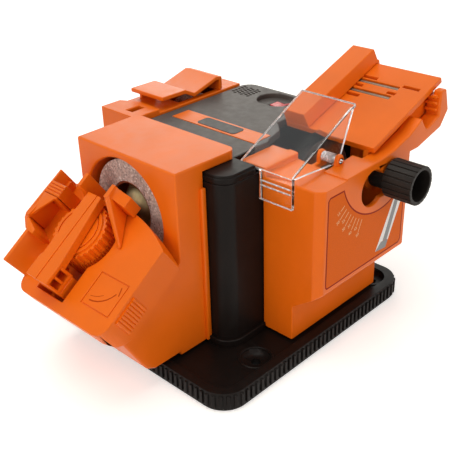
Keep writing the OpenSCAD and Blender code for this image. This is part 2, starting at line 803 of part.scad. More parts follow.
module drive_bevel_gear() {
    color([0.60, 0.55, 0.42]) translate([cross_x - gear_r, motor_y, axis_z]) rotate(120, [1, 1, 1])
        bevel(0);
}

module driven_bevel_gear() {
    color([0.60, 0.55, 0.42]) translate([cross_x, motor_y + gear_r, axis_z])
        rotate([90, 0, 0]) bevel(180 / gear_teeth);
}

module wheel_ring(l, r) {
    difference() {
        cylinder(h = l, r = r);
        translate([0, 0, -1]) cylinder(h = l + 2, r = wheel_bore);
    }
}

bush_t = 1;
module drill_wheel() {
    color(grit) on_motor() translate([drill_wheel_x, 0, 0]) rotate([0, 90, 0]) wheel_ring(wheel_w, wheel_r);
}

// Cup that carries the drill wheel: thin bush in the bore, web and back flange
module drill_wheel_bush() {
    r = wheel_bore - seat_gap;
    web = 3;
    color(copper) on_motor() difference() {
        union() {
            along_x(drill_wheel_x + 0.6, wheel_w - 0.6, r);
            along_x(drill_wheel_x + wheel_w, 1.2, r + 4);
        }
        along_x(drill_wheel_x, wheel_w - web, r - bush_t);
        along_x(drill_wheel_x, big, shaft_r);
    }
}

// Domed nut in the cup, on a flat flange
nut_r = 10.5;
dome_r = 9;
module drill_wheel_nut() {
    web_x = drill_wheel_x + wheel_w - 3;
    color(olive) on_motor() difference() {
        union() {
            along_x(web_x - 2.6, 2.6, nut_r);
            translate([web_x - 2.5, 0, 0]) rotate([0, -90, 0]) rotate_extrude()
                intersection() {
                    translate([0, -5]) circle(dome_r + 2);
                    square([dome_r, 9]);
                }
        }
        along_x(shaft_x0 - 0.01, 12, shaft_r);
    }
}

cross_y0 = chisel_wheel_y - 5;
cross_y1 = knife_wheel_y + wheel_w + 5;
module cross_shaft() {
    color(steel) on_cross() along_y(cross_y0, cross_y1 - cross_y0, shaft_r);
}

module chisel_wheel() {
    color(grit) on_cross() translate([0, chisel_wheel_y, 0]) rotate([-90, 0, 0])
        wheel_ring(wheel_w, chisel_wheel_r);
}

module knife_wheel() {
    color(grit) on_cross() translate([0, knife_wheel_y, 0]) rotate([-90, 0, 0])
        wheel_ring(wheel_w, wheel_r);
}

// Hub filling a side wheel's bore, with a flange inside and a nut outside
module wheel_hub(y, out) {
    r = wheel_bore - seat_gap;
    inner = out > 0 ? y - 1.4 : y + wheel_w;
    nut = out > 0 ? y + wheel_w : y - 4;
    color(olive) on_cross() difference() {
        union() {
            along_y(y, wheel_w, r);
            along_y(inner, 1.4, r + 3);
            translate([0, nut, 0]) rotate([-90, 0, 0]) cylinder(h = 4, r = 7.5, $fn = 6);
        }
        along_y(y - 10, wheel_w + 20, shaft_r);
    }
}

module chisel_wheel_hub() {
    wheel_hub(chisel_wheel_y, -1);
}

module knife_wheel_hub() {
    wheel_hub(knife_wheel_y, 1);
}

bar_y = dial_y - 2.7;
bar_u0 = -3;
bar_u1 = 43.3;
front_gap = 1.8;
side_gap = 2.4;
bar_gap = 0.3;
module trough() {
    translate([bar_u0 - front_gap, bar_y - bar_w / 2 - side_gap, -trough_d])
        cube([dial_u - bar_u0 + front_gap, bar_w + 2 * side_gap, big]);
    translate([dial_u, dial_y, -trough_d]) cylinder(h = big, r = dial_r + side_gap);
}

// Rounds a corner of the holder seen along its top face's normal
module round_corner(u, y, su, sy, r) {
    translate([u, y, -big / 2]) difference() {
        translate([su > 0 ? -1 : -r, sy > 0 ? -1 : -r, 0]) cube([r + 1, r + 1, big]);
        translate([su * r, sy * r, -1]) cylinder(h = big + 2, r = r);
    }
}

front_r = 6.5;
wall_flare = 5;
latch_u = 34.5;
latch_l = 6.6;
latch_low = 5;
wing_gap = 1.6;
wing_u1 = 46.5;
far_u = 60;
module drill_holder() {
    rib_n = 8;
    wing_in = holder_y1 - 2;
    color(orange) difference() {
        union() {
            on_slope() {
                slab_y(holder_y0, holder_y1, [[holder_front_u, 0], [far_u, 0], [far_u, -holder_t],
                    [holder_front_u + 8, -holder_t], [holder_front_u + 2, -holder_t + 3],
                    [holder_front_u, -holder_t + 8]]);
                slab_y(holder_y1 - 0.1, wing_y1, [[wing_u, 0], [far_u, 0], [far_u, -holder_t],
                    [wing_u, -holder_t]]);
                translate([holder_front_u + front_r + 0.1, 0, 0]) rotate([90, 0, 90])
                    linear_extrude(wing_u - holder_front_u - front_r - 0.1)
                        polygon([[wing_in, -1], [holder_y1, -1], [holder_y1 + wall_flare, wall_h],
                            [wing_in + wall_flare, wall_h]]);
                slab_y(wing_y1 - 2, wing_y1, [[wing_u, -1], [far_u, -1], [far_u, wall_h - 4],
                    [wing_u1 + 2, wall_h + 0.6], [wing_u1, wall_h], [wing_u1, latch_low],
                    [latch_u - wing_gap, latch_low], [latch_u - wing_gap, wall_h], [wing_u, wall_h + 2]]);
                slab_y(wing_in, wing_y1, [[wing_u - 2, -1], [wing_u, -1], [wing_u, wall_h + 2],
                    [wing_u - 2, wall_h + 2]]);
                for (i = [0:rib_n - 1]) translate([0.4 + i * 1.7, holder_y0, -13]) cylinder(h = 11, r = 0.9);
                translate([pivot_u, pivot_y, -dock_drop - pivot_len])
                    cylinder(h = pivot_len + 1, r = pivot_r);
            }
        }
        on_slope() trough();
        translate([holder_end_x, -big / 2, 0]) cube(big);
        on_slope() difference() {
            translate([dial_u, -big + motor_y, -big / 2]) cube(big);
            translate([end_u - end_arc_r, motor_y, -big / 2]) cylinder(h = big, r = end_arc_r, $fn = 200);
        }
        on_slope() round_corner(holder_front_u, holder_y1, 1, -1, front_r);
        on_slope() round_corner(holder_front_u, holder_y0, 1, 1, front_r);
        on_slope() translate([-0.4, -27.3, -0.5]) difference() {
            cube([16.5, 19, 9]);
            translate([0.5, 0.5, -1]) cube([15.5, 18, 11]);
        }
    }
}

ring_h = 9.2;
dial_h = 6.5;
dial_z0 = -trough_d + 0.3;
// Toothed outline: n teeth of depth d, each flat for a share a and closed at a share b of the pitch
function knurl(r, n, d, a, b) = [for (i = [0:n - 1]) each let (p = 360 / n)
    [dir(i * p - b * p) * (r - d),
        dir(i * p - a * p) * r, dir(i * p + a * p) * r, dir(i * p + b * p) * (r - d)]];

// Fine-toothed ring under the dial
module dial_ring() {
    color(orange) on_slope() translate([dial_u, dial_y, dial_z0]) difference() {
        linear_extrude(ring_h) polygon(knurl(dial_r - 0.2, 60, 0.5, 0.2, 0.26));
        translate([0, 0, -1]) cylinder(h = ring_h + 2, r = 5);
    }
}

module size_dial() {
    color(orange) on_slope() translate([dial_u, dial_y, dial_z0]) difference() {
        union() {
            translate([0, 0, ring_h + 0.05]) linear_extrude(dial_h)
                polygon(knurl(dial_r, 30, 0.8, 0.2, 0.3));
            translate([0, 0, ring_h + dial_h]) cylinder(h = 1.2, r = dial_r - 2);
            cylinder(h = ring_h + 1, r = 5 - seat_gap);
        }
        translate([0, 0, ring_h + dial_h + 0.5]) difference() {
            cylinder(h = 2, r = dial_r - 3.6);
            translate([0, 0, -1]) cylinder(h = 4, r = dial_r - 4.3);
        }
    }
}

bar_z = dial_z0 + ring_h + dial_h + 1.2 + bar_gap;
bar_t = 5;
block_l = 10;
crease_w = 0.4;
crease_d = 0.5;
module feed_bar() {
    color(orange) on_slope() difference() {
        translate([0, bar_y, 0]) union() {
            translate([0, 0, bar_z]) linear_extrude(bar_t) polygon([[bar_u0, -bar_w / 2],
                [bar_u0 + block_l, -bar_w / 2], [bar_u1, -bar_w / 2 + 4.6], [bar_u1, bar_w / 2 - 0.8],
                [bar_u0 + block_l + 2, bar_w / 2 - 1], [bar_u0 + block_l, bar_w / 2], [bar_u0, bar_w / 2]]);
            translate([bar_u0, -bar_w / 2, -trough_d + bar_gap]) cube([block_l, bar_w, bar_z + trough_d]);
        }
        for (i = [0, 1]) translate([bar_u0 + 1.2 + i * 5, bar_y - bar_w / 2 - 1, bar_z - 5.6])
            cube([4, 7, 5]);
        translate([bar_u0 - 1, bar_y - crease_w, bar_z + bar_t - crease_d]) cube([big, crease_w, big]);
        translate([bar_u0 - 1, bar_y - big - crease_w + 0.01, bar_z + bar_t - crease_d / 2])
            cube([big, big, big]);
    }
}

// Jaw: a cross-shaped post beside the feed bar, with a fin that runs down the slope to one side
module jaw(side, fin_u, fin_y) {
    post_t = 2.2;
    post_l = 7;
    post_h = 16.5;
    arm_l = 7.4;
    translate([0, bar_y, bar_gap]) mirror([0, side > 0 ? 0 : 1, 0]) {
        translate([jaw_u, jaw_gap, 0]) cube([post_l, post_t, post_h]);
        translate([jaw_u + 1.4, jaw_gap, 0]) rotate([90, 0, 90]) linear_extrude(post_l - 1.4)
            polygon([[0, 0], [arm_l, 0], [arm_l, post_h - 7.5], [0, post_h - 1]]);
        hull() {
            translate([jaw_u, jaw_gap + 0.2, 0]) cube([2, post_t - 0.4, post_h - 0.5]);
            translate([fin_u, fin_y, 0]) cube([1, 1.6, 0.8]);
        }
    }
}

jaw_gap = 8.4;
module left_jaw() {
    color(orange) on_slope() jaw(1, 40.5, 12);
}

module right_jaw() {
    color(orange) on_slope() jaw(-1, 28.6, 18.6);
}

module holder_latch() {
    z = latch_low + 0.3;
    h = 7;
    l = wing_y1 - holder_y1 + 1;
    color(orange) on_slope() translate([latch_u, holder_y1 - 1, z]) {
        cube([latch_l, l, h]);
        translate([0, 0, 0.3 - z]) cube([latch_l, l - 3.4, z]);
        for (i = [0:3]) translate([0.9 + i * 1.6, 0, h]) rotate([-90, 0, 0]) cylinder(h = l, r = 0.7);
    }
}

slots = [[48, 27, 36], [40.5, 31, 36], [32.5, 28, 36], [40, 11, 16], [47, 1.5, 11]];
module chisel_plate() {
    color(orange) difference() {
        union() {
            on_plate() {
                translate([0, plate_y0, -plate_t]) cube([plate_l, plate_y1 - plate_y0, plate_t]);
                translate([plate_l - 14, chisel_y + arm_w + 1, -plate_t - 6]) cube([4, 28, 6.1]);
            }
            slab_y(bracket_y, bracket_y + bracket_t, [[tilt_x + 1, tilt_z - 2.5], [knob_x - 9, knob_z + 1],
                [knob_x - 7, knob_z - 6], [knob_x - 3, knob_z - 9], [knob_x + 3, knob_z - 9],
                [knob_x + 8, knob_z - 5], [tilt_x + 24, tilt_z + 6]]);
            on_plate() slab_y(bracket_y, bracket_y + bracket_t, [[20, -plate_t + 0.1], [20, -plate_t - 6],
                [plate_l - 16, -plate_t - skirt_h], [plate_l - 5, -plate_t - skirt_h],
                [plate_l - 2, -plate_t + 0.1]]);
        }
        on_plate() {
            for (s = slots) translate([s[0] - 1, s[1] - 67, -big / 2]) cube([2, s[2] - s[1], big]);
            for (s = rod_s) {
                translate([s - rod_r - 0.2, rod_y0, -rod_drop])
                    cube([2 * rod_r + 0.4, plate_y1 - rod_y0 - 1, 9]);
                translate([s, 0, -rod_drop + 0.85])
                    along_y(rod_y0, plate_y1 - rod_y0 - 1, rod_r + seat_gap);
            }
        }
    }
}

module guide_rods() {
    color(steel) on_plate() for (s = rod_s)
        translate([s, 0, -rod_drop + 0.85]) along_y(rod_y0 + 0.2, plate_y1 - rod_y0 - 1.4, rod_r);
}

module chisel_fence() {
    gap = 0.3;
    clip_t = 1.8;
    color(orange) on_plate() {
        translate([0, fence_y, gap]) rotate([90, 0, 90]) linear_extrude(plate_l + 1)
            polygon([[0, 0], [fence_w, 0], [fence_w, fence_h], [1.6, fence_h]]);
        translate([plate_l + gap, fence_y, -plate_t - clip_t])
            cube([clip_t, fence_w, plate_t + clip_t + 1]);
        translate([plate_l - 3, fence_y, -plate_t - gap - clip_t])
            cube([3 + gap + clip_t, fence_w, clip_t]);
    }
}

knob_gap = 1.2;
module lock_knob() {
    ribs = 20;
    color(black) translate([knob_x, chisel_y - knob_gap, knob_z]) rotate([90, 0, 0]) difference() {
        union() {
            linear_extrude(knob_l) polygon(knurl(knob_r, ribs, 0.6, 0.38, 0.44));
            translate([0, 0, -arm_w - knob_gap]) cylinder(h = arm_w + knob_gap + 0.1, r = shank_r);
        }
        translate([0, 0, knob_l - 11]) cylinder(h = 12, r = knob_r - 2);
    }
}

guard_x0 = -19.5;
guard_z = 98;
guard_len = 50.5;
flap_h = 15.5;
module guard() {
    wall = [[guard_x0, 97.2], [hinge_x - 3.5, 95], [hinge_x - 1.2, hinge_z - 3], [hinge_x + 1, hinge_z - 3],
        [hinge_x + 3.2, hinge_z - 0.6], [25.5, 120.2]];
    color([0.86, 0.90, 0.93, 0.35]) difference() {
        union() {
            translate([guard_x0, guard_y0, guard_z]) rotate([0, -guard_tilt, 0])
                translate([0, 0, -guard_t]) cube([guard_len, guard_y1 - guard_y0, guard_t]);
            translate([guard_x0, guard_y0, guard_z - flap_h])
                cube([guard_t, -house_y - guard_y0 - 0.6, flap_h - 0.3]);
            slab_y(guard_y0, guard_y0 + guard_t, wall);
            translate([hinge_x, 0, hinge_z]) along_y(guard_y0, barrel_l, barrel_r);
        }
        translate([hinge_x, 0, hinge_z]) along_y(guard_y0 - 1, barrel_l + 2, pin_r + run_gap);
    }
}

module guard_pin() {
    color(steel) translate([hinge_x, 0, hinge_z])
        along_y(guard_y0 - ear_t - 0.5, barrel_l + 2 * ear_t + 1, pin_r);
}

base_plate();
rubber_pads();
motor_housing();
top_cover();
label_strip();
label_field();
housing_screws();
drill_housing();
chisel_housing();
knife_housing();
knife_hold_down();
bearing_frame();
motor_cradle();
stator();
field_coils();
brush_holders();
carbon_brushes();
motor_bearings();
cross_bearings();
switch_body();
switch_rocker();
cord_inlet();
motor_shaft();
armature();
commutator();
cooling_fan();
drive_bevel_gear();
drill_wheel();
drill_wheel_bush();
drill_wheel_nut();
cross_shaft();
driven_bevel_gear();
chisel_wheel();
chisel_wheel_hub();
knife_wheel();
knife_wheel_hub();
drill_holder();
size_dial();
dial_ring();
left_jaw();
right_jaw();
feed_bar();
holder_latch();
chisel_plate();
guide_rods();
chisel_fence();
lock_knob();
guard();
guard_pin();
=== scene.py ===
import bmesh
import bpy
import json
import math
from mathutils import Matrix, Vector


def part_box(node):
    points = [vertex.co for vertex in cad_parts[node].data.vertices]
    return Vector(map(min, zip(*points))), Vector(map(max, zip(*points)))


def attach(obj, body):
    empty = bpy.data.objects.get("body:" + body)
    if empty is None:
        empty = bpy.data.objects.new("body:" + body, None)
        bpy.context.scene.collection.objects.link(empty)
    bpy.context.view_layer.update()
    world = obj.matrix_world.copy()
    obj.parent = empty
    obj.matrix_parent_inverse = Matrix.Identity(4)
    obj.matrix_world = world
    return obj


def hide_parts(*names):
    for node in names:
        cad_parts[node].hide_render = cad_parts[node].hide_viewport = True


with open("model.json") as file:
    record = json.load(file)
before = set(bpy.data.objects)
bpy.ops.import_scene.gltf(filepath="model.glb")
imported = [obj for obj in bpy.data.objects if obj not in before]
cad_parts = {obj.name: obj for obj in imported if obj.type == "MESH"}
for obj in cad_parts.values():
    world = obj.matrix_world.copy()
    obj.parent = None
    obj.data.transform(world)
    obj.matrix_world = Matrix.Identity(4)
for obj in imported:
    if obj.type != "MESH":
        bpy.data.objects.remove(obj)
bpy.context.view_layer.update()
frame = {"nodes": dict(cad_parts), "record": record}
scene = bpy.context.scene
mm = 0.001  # pieces are given in millimetres and degrees, the studio and the finishes in metres
print("frame loaded,", len(frame["nodes"]), "CAD nodes")


# small helpers for objects, meshes and node trees
def linked(name, data):
    item = bpy.data.objects.new(name, data)
    scene.collection.objects.link(item)
    return item


def evaluatedMesh(item):
    return bpy.data.meshes.new_from_object(item.evaluated_get(bpy.context.evaluated_depsgraph_get()))


def settled(work, mesh):
    work.to_mesh(mesh)
    work.free()
    return mesh


def shadeSmooth(mesh, sharp=None):
    mesh.polygons.foreach_set("use_smooth", [True] * len(mesh.polygons))
    if sharp is not None:
        mesh.set_sharp_from_angle(angle=math.radians(sharp))


# sockets are linked, plain values are set
def setInputs(tree, node, inputs):
    for key, value in inputs.items():
        if hasattr(value, "is_linked"):
            tree.links.new(value, node.inputs[key])
        else:
            node.inputs[key].default_value = value
    return node


def addNode(tree, kind, inputs):
    return setInputs(tree, tree.nodes.new(kind), inputs)


def mathOf(tree, operation, a, b=0.0):
    node = addNode(tree, "ShaderNodeMath", {0: a, 1: b})
    node.operation = operation
    return node.outputs[0]


# camera at the photograph's place
cameraSet = {"place": (-263.7, -261.0, 246.9), "turn": -45.27, "rise": 28.43, "roll": -1.79,
             "lens": 63.756, "clip": (0.01, 50)}


def makeCamera():
    turn, rise, roll = (math.radians(cameraSet[key]) for key in ("turn", "rise", "roll"))
    back = Vector((math.sin(turn) * math.cos(rise), -math.cos(turn) * math.cos(rise), math.sin(rise)))
    right = Vector((math.cos(turn), math.sin(turn), 0))
    up = back.cross(right)
    rolledRight = right * math.cos(roll) + up * math.sin(roll)
    rolledUp = up * math.cos(roll) - right * math.sin(roll)
    data = bpy.data.cameras.new("photoCamera")
    data.lens = cameraSet["lens"]
    data.clip_start, data.clip_end = cameraSet["clip"]
    camera = linked("photoCamera", data)
    pose = Matrix((rolledRight, rolledUp, back)).transposed().to_4x4()
    pose.translation = Vector(cameraSet["place"]) * mm
    camera.matrix_world = pose
    scene.camera = camera


makeCamera()
scene.view_settings.view_transform = "Standard"

# studio: soft boxes, pale floor, bright surround for camera, gloss and clear rays
studioSet = {
    "surround": 0.30, "surroundTint": (1.0, 0.95, 0.90), "aim": (0, 0, 0.06),
    "lamps": {
        "topBox": {"place": (-0.10, 0.10, 1.0), "size": 0.9, "power": 4.8, "tint": (1.0, 1.0, 0.90)},
        "leftBox": {"place": (-1.0, -0.10, 0.42), "size": 0.7, "power": 3.7, "tint": (1.0, 0.84, 0.72)},
        "rightBox": {"place": (0.15, -1.05, 0.45), "size": 0.7, "power": 3.0, "tint": (1.0, 0.84, 0.72)},
        "backBox": {"place": (0.85, 0.75, 0.50), "size": 0.7, "power": 2.0, "tint": (1.0, 0.97, 0.84)},
    },
}
floorSet = {"half": 6.0, "level": -0.0004,
            "colour": (0.90, 0.90, 0.90), "rough": 0.9, "shine": 0.1, "glow": 0.50}
white = (1, 1, 1, 1)


def brightRays(tree):
    rays = tree.nodes.new("ShaderNodeLightPath")
    bright = rays.outputs["Is Camera Ray"]
    for kind in ("Is Glossy Ray", "Is Transmission Ray"):
        bright = mathOf(tree, "MAXIMUM", bright, rays.outputs[kind])
    return bright


def makeSurround():
    world = bpy.data.worlds.new("studioWorld")
    scene.world = world
    world.use_nodes = True
    tree = world.node_tree
    tree.nodes.clear()
    tint = (*studioSet["surroundTint"], 1)
    light = addNode(tree, "ShaderNodeBackground", {"Color": tint, "Strength": studioSet["surround"]})
    seen = addNode(tree, "ShaderNodeBackground", {"Color": white, "Strength": 1.0})
    both = {"Fac": brightRays(tree), 1: light.outputs[0], 2: seen.outputs[0]}
    mix = addNode(tree, "ShaderNodeMixShader", both)
    addNode(tree, "ShaderNodeOutputWorld", {"Surface": mix.outputs[0]})


def makeLamp(name, lamp):
    data = bpy.data.lights.new(name, "AREA")
    data.shape = "DISK"
    data.size = lamp["size"]
    data.energy = lamp["power"]
    data.color = lamp["tint"]
    item = linked(name, data)
    item.location = lamp["place"]
    item.rotation_mode = "QUATERNION"
    item.rotation_quaternion = (Vector(lamp["place"]) - Vector(studioSet["aim"])).to_track_quat("Z", "Y")


def makeFloor():
    half, level = floorSet["half"], floorSet["level"]
    corners = [(-half, -half, level), (half, -half, level), (half, half, level), (-half, half, level)]
    mesh = bpy.data.meshes.new("floor")
    mesh.from_pydata(corners, [], [(0, 1, 2, 3)])
    material = bpy.data.materials.new("floorPaper")
    material.use_nodes = True
    tree = material.node_tree
    setInputs(tree, tree.nodes["Principled BSDF"], {
        "Base Color": (*floorSet["colour"], 1),
        "Roughness": floorSet["rough"],
        "Specular IOR Level": floorSet["shine"],
        "Emission Color": white,
        "Emission Strength": mathOf(tree, "MULTIPLY", brightRays(tree), floorSet["glow"])})
    mesh.materials.append(material)
    linked("floor", mesh)


makeSurround()
for lampName, lamp in studioSet["lamps"].items():
    makeLamp(lampName, lamp)
makeFloor()
print("camera and studio ready")

# small helpers for the finishes
noiseSpan = (0.3, 0.7)  # where nearly all of a noise pattern's values lie


def startFinish(name):
    material = bpy.data.materials.new(name)
    material.use_nodes = True
    tree = material.node_tree
    place = tree.nodes.new("ShaderNodeTexCoord").outputs["Object"]
    return material, tree, tree.nodes["Principled BSDF"], place


def noiseOf(tree, place, scale, detail=2.0, rough=0.5):
    inputs = {"Vector": place, "Scale": scale, "Detail": detail, "Roughness": rough}
    return addNode(tree, "ShaderNodeTexNoise", inputs).outputs["Fac"]


def cellsOf(tree, place, scale, output):
    return addNode(tree, "ShaderNodeTexVoronoi", {"Vector": place, "Scale": scale}).outputs[output]


def scaled(colour, k):
    return tuple(min(1.0, c * k) for c in colour)


def rampOf(tree, value, stops):
    node = addNode(tree, "ShaderNodeValToRGB", {"Fac": value})
    ramp = node.color_ramp
    while len(ramp.elements) < len(stops):
        ramp.elements.new(0.5)
    for element, (at, colour) in zip(ramp.elements, stops):
        element.position = at
        element.color = (*colour, 1)
    return node.outputs["Color"]


def tintOf(tree, value, colour, less, more):
    return rampOf(tree, value, list(zip(noiseSpan, (scaled(colour, 1 - less), scaled(colour, 1 + more)))))


def spreadOf(tree, value, low, high, source=noiseSpan):
    inputs = {"Value": value, "From Min": source[0], "From Max": source[1], "To Min": low, "To Max": high}
    return addNode(tree, "ShaderNodeMapRange", inputs).outputs["Result"]


def bumpOf(tree, height, strength, depth, under=None):
    inputs = {"Height": height, "Strength": strength, "Distance": depth}
    if under is not None:
        inputs["Normal"] = under
    return addNode(tree, "ShaderNodeBump", inputs).outputs["Normal"]


def mixOf(tree, factor, a, b):
    node = tree.nodes.new("ShaderNodeMix")
    node.data_type = "RGBA"  # colours are its inputs 6 and 7 and its output 2
    return setInputs(tree, node, {0: factor, 6: a, 7: b}).outputs[2]


# moulded plastics: cloudy tint, fine spark texture, uneven gloss, soft bump
plasticSet = {
    "orangePlastic": {"colour": (0.80, 0.150, 0.004), "cloud": 45, "swing": 0.04, "gloss": (0.30, 0.40),
                      "shine": 0.24, "grain": 2600, "lift": 0.05, "deep": 0.00005},
    "blackPlastic": {"colour": (0.0080, 0.0060, 0.0054), "cloud": 60, "swing": 0.18, "gloss": (0.34, 0.46),
                     "shine": 0.11, "grain": 2200, "lift": 0.08, "deep": 0.00005},
    "knobBlack": {"colour": (0.020, 0.017, 0.0155), "cloud": 60, "swing": 0.18, "gloss": (0.34, 0.46),
                  "shine": 0.11, "grain": 2200, "lift": 0.08, "deep": 0.00005},
    "greyCover": {"colour": (0.080, 0.069, 0.065), "cloud": 60, "swing": 0.10, "gloss": (0.46, 0.60),
                  "shine": 0.30, "grain": 1500, "lift": 0.30, "deep": 0.0001},
    "fieldGrey": {"colour": (0.040, 0.037, 0.037), "cloud": 60, "swing": 0.10, "gloss": (0.40, 0.52),
                  "shine": 0.25, "grain": 1500, "lift": 0.20, "deep": 0.0001},
    "redPlastic": {"colour": (0.62, 0.030, 0.045), "cloud": 90, "swing": 0.05, "gloss": (0.22, 0.30),
                   "shine": 0.40, "grain": 2600, "lift": 0.03, "deep": 0.00004},
    "rubberBlack": {"colour": (0.018, 0.018, 0.018), "cloud": 80, "swing": 0.15, "gloss": (0.70, 0.85),
                    "shine": 0.20, "grain": 1600, "lift": 0.30, "deep": 0.0001},
    "carbonBlack": {"colour": (0.030, 0.030, 0.033), "cloud": 120, "swing": 0.20, "gloss": (0.50, 0.65),
                    "shine": 0.30, "grain": 2200, "lift": 0.20, "deep": 0.0001},
}
smearFiner = 4  # uneven gloss is this much finer than the cloudy tint


def mouldedPlastic(name):
    look = plasticSet[name]
    material, tree, shader, place = startFinish(name)
    cloud = noiseOf(tree, place, look["cloud"], detail=3)
    smear = noiseOf(tree, place, look["cloud"] * smearFiner, detail=4, rough=0.6)
    grain = noiseOf(tree, place, look["grain"])
    setInputs(tree, shader, {
        "Specular IOR Level": look["shine"],
        "Base Color": tintOf(tree, cloud, look["colour"], look["swing"], look["swing"]),
        "Roughness": spreadOf(tree, smear, *look["gloss"]),
        "Normal": bumpOf(tree, grain, look["lift"], look["deep"])})
    return material


# bonded grit wheels: binder with dark, tan and pale grains
gritSet = {
    "roseGrit": {"binder": (0.43, 0.39, 0.385), "level": 2.15},
    "darkGrit": {"binder": (0.055, 0.052, 0.050), "level": 0.40},
}
gritGrain = {"grain": 1150, "speck": 2100, "cloud": 160, "filled": (0.10, 0.55), "gloss": (0.45, 0.85),
             "grainBump": (0.7, 0.0003), "speckBump": (0.5, 0.0002)}
gritTones = [(0.0, (0.10, 0.078, 0.072)), (0.35, (0.22, 0.185, 0.175)), (0.62, (0.33, 0.29, 0.275)),
             (0.82, (0.28, 0.21, 0.19)), (1.0, (0.52, 0.49, 0.465))]


def bondedGrit(name):
    look = gritSet[name]
    material, tree, shader, place = startFinish(name)
    cells = cellsOf(tree, place, gritGrain["grain"], "Color")
    pick = addNode(tree, "ShaderNodeSeparateColor", {0: cells})
    grains = rampOf(tree, pick.outputs[0], [(at, scaled(tone, look["level"])) for at, tone in gritTones])
    cloud = noiseOf(tree, place, gritGrain["cloud"], detail=3)
    filled = spreadOf(tree, cloud, *gritGrain["filled"])
    away = cellsOf(tree, place, gritGrain["grain"], "Distance")
    grainBump = bumpOf(tree, away, *gritGrain["grainBump"])
    speck = noiseOf(tree, place, gritGrain["speck"], detail=3)
    setInputs(tree, shader, {
        "Base Color": mixOf(tree, filled, grains, (*look["binder"], 1)),
        "Roughness": spreadOf(tree, pick.outputs[1], *gritGrain["gloss"], source=(0, 1)),
        "Normal": bumpOf(tree, speck, *gritGrain["speckBump"], under=grainBump)})
    return material


# metals: brushed or turned streaks on their own axis, with stains
metalSet = {
    "groundSteel": {"colour": (0.52, 0.52, 0.53), "swing": 0.12, "gloss": (0.22, 0.40),
                    "streak": (30, 1800, 1800)},
    "coreSteel": {"colour": (0.22, 0.20, 0.18), "swing": 0.25, "gloss": (0.40, 0.60),
                  "streak": (1800, 60, 60)},
    "oliveZinc": {"colour": (0.33, 0.275, 0.150), "swing": 0.30, "gloss": (0.46, 0.62),
                  "streak": (500, 500, 500)},
    "brownSteel": {"colour": (0.20, 0.145, 0.110), "swing": 0.25, "gloss": (0.42, 0.60),
                   "streak": (60, 1800, 1800)},
    "copperBronze": {"colour": (0.44, 0.20, 0.10), "swing": 0.25, "gloss": (0.28, 0.46),
                     "streak": (1500, 80, 80)},
}
metalWear = {"stain": 140, "streakBump": (0.12, 0.00005)}


def workedMetal(name):
    look = metalSet[name]
    material, tree, shader, place = startFinish(name)
    stretch = addNode(tree, "ShaderNodeMapping", {"Vector": place, "Scale": look["streak"]})
    streak = noiseOf(tree, stretch.outputs[0], 1.0, detail=3)
    stain = noiseOf(tree, place, metalWear["stain"], detail=4, rough=0.6)
    setInputs(tree, shader, {
        "Metallic": 1.0,
        "Base Color": tintOf(tree, stain, look["colour"], look["swing"], look["swing"]),
        "Roughness": spreadOf(tree, streak, *look["gloss"]),
        "Normal": bumpOf(tree, streak, *metalWear["streakBump"])})
    return material


# clear guard: thin moulded sheet with faint scuffs
clearSet = {"colour": (0.95, 0.97, 0.98), "ior": 1.3, "scuff": 300, "gloss": (0.03, 0.10), "wave": 35,
            "waveBump": (0.02, 0.0002)}


def clearPlastic():
    material, tree, shader, place = startFinish("clearPlastic")
    scuff = noiseOf(tree, place, clearSet["scuff"], detail=5, rough=0.65)
    wave = noiseOf(tree, place, clearSet["wave"])
    setInputs(tree, shader, {
        "Base Color": (*clearSet["colour"], 1),
        "Transmission Weight": 1.0,
        "IOR": clearSet["ior"],
        "Roughness": spreadOf(tree, scuff, *clearSet["gloss"]),
        "Normal": bumpOf(tree, wave, *clearSet["waveBump"])})
    return material


# printed inks on the label, and flat dark painted shade for the label's border groove and the marked arrow's
# groove
printAndShadeSet = {
    "labelOrange": {"colour": (0.72, 0.128, 0.003), "gloss": (0.34, 0.44)},
    # dark red below: painted shade of the label's border groove
    "borderGrooveShade": {"colour": (0.30, 0.014, 0.004), "gloss": (0.38, 0.48)},
    "labelCream": {"colour": (0.86, 0.66, 0.36), "gloss": (0.36, 0.46)},
    "printSteel": {"colour": (0.30, 0.32, 0.34), "gloss": (0.30, 0.40)},
    "printSilver": {"colour": (0.88, 0.90, 0.92), "gloss": (0.26, 0.36)},
    # dark orange below: painted shade of the arrow's engraved groove
    "arrowGrooveShade": {"colour": (0.44, 0.052, 0.003), "gloss": (0.40, 0.50)},
}
printAndShadeTexture = {"shine": 0.06, "dots": 1800, "smear": 200, "less": 0.07, "more": 0.06}


def printAndShadeInk(name):
    look = printAndShadeSet[name]
    material, tree, shader, place = startFinish(name)
    dots = noiseOf(tree, place, printAndShadeTexture["dots"])
    smear = noiseOf(tree, place, printAndShadeTexture["smear"], detail=3)
    setInputs(tree, shader, {
        "Specular IOR Level": printAndShadeTexture["shine"],
        "Base Color": tintOf(tree, dots, look["colour"], printAndShadeTexture["less"], printAndShadeTexture["more"]),
        "Roughness": spreadOf(tree, smear, *look["gloss"])})
    return material


slotFinish = {
    "orange_plastic": mouldedPlastic("orangePlastic"),
    "black_plastic": mouldedPlastic("blackPlastic"),
    "grey_cover": mouldedPlastic("greyCover"),
    "red_plastic": mouldedPlastic("redPlastic"),
    "clear_plastic": clearPlastic(),
    "abrasive": bondedGrit("roseGrit"),
    "olive_zinc": workedMetal("oliveZinc"),
    "copper": workedMetal("copperBronze"),
    "steel": workedMetal("groundSteel"),
    "core_steel": workedMetal("coreSteel"),
    "rubber": mouldedPlastic("rubberBlack"),
    "carbon": mouldedPlastic("carbonBlack"),
}
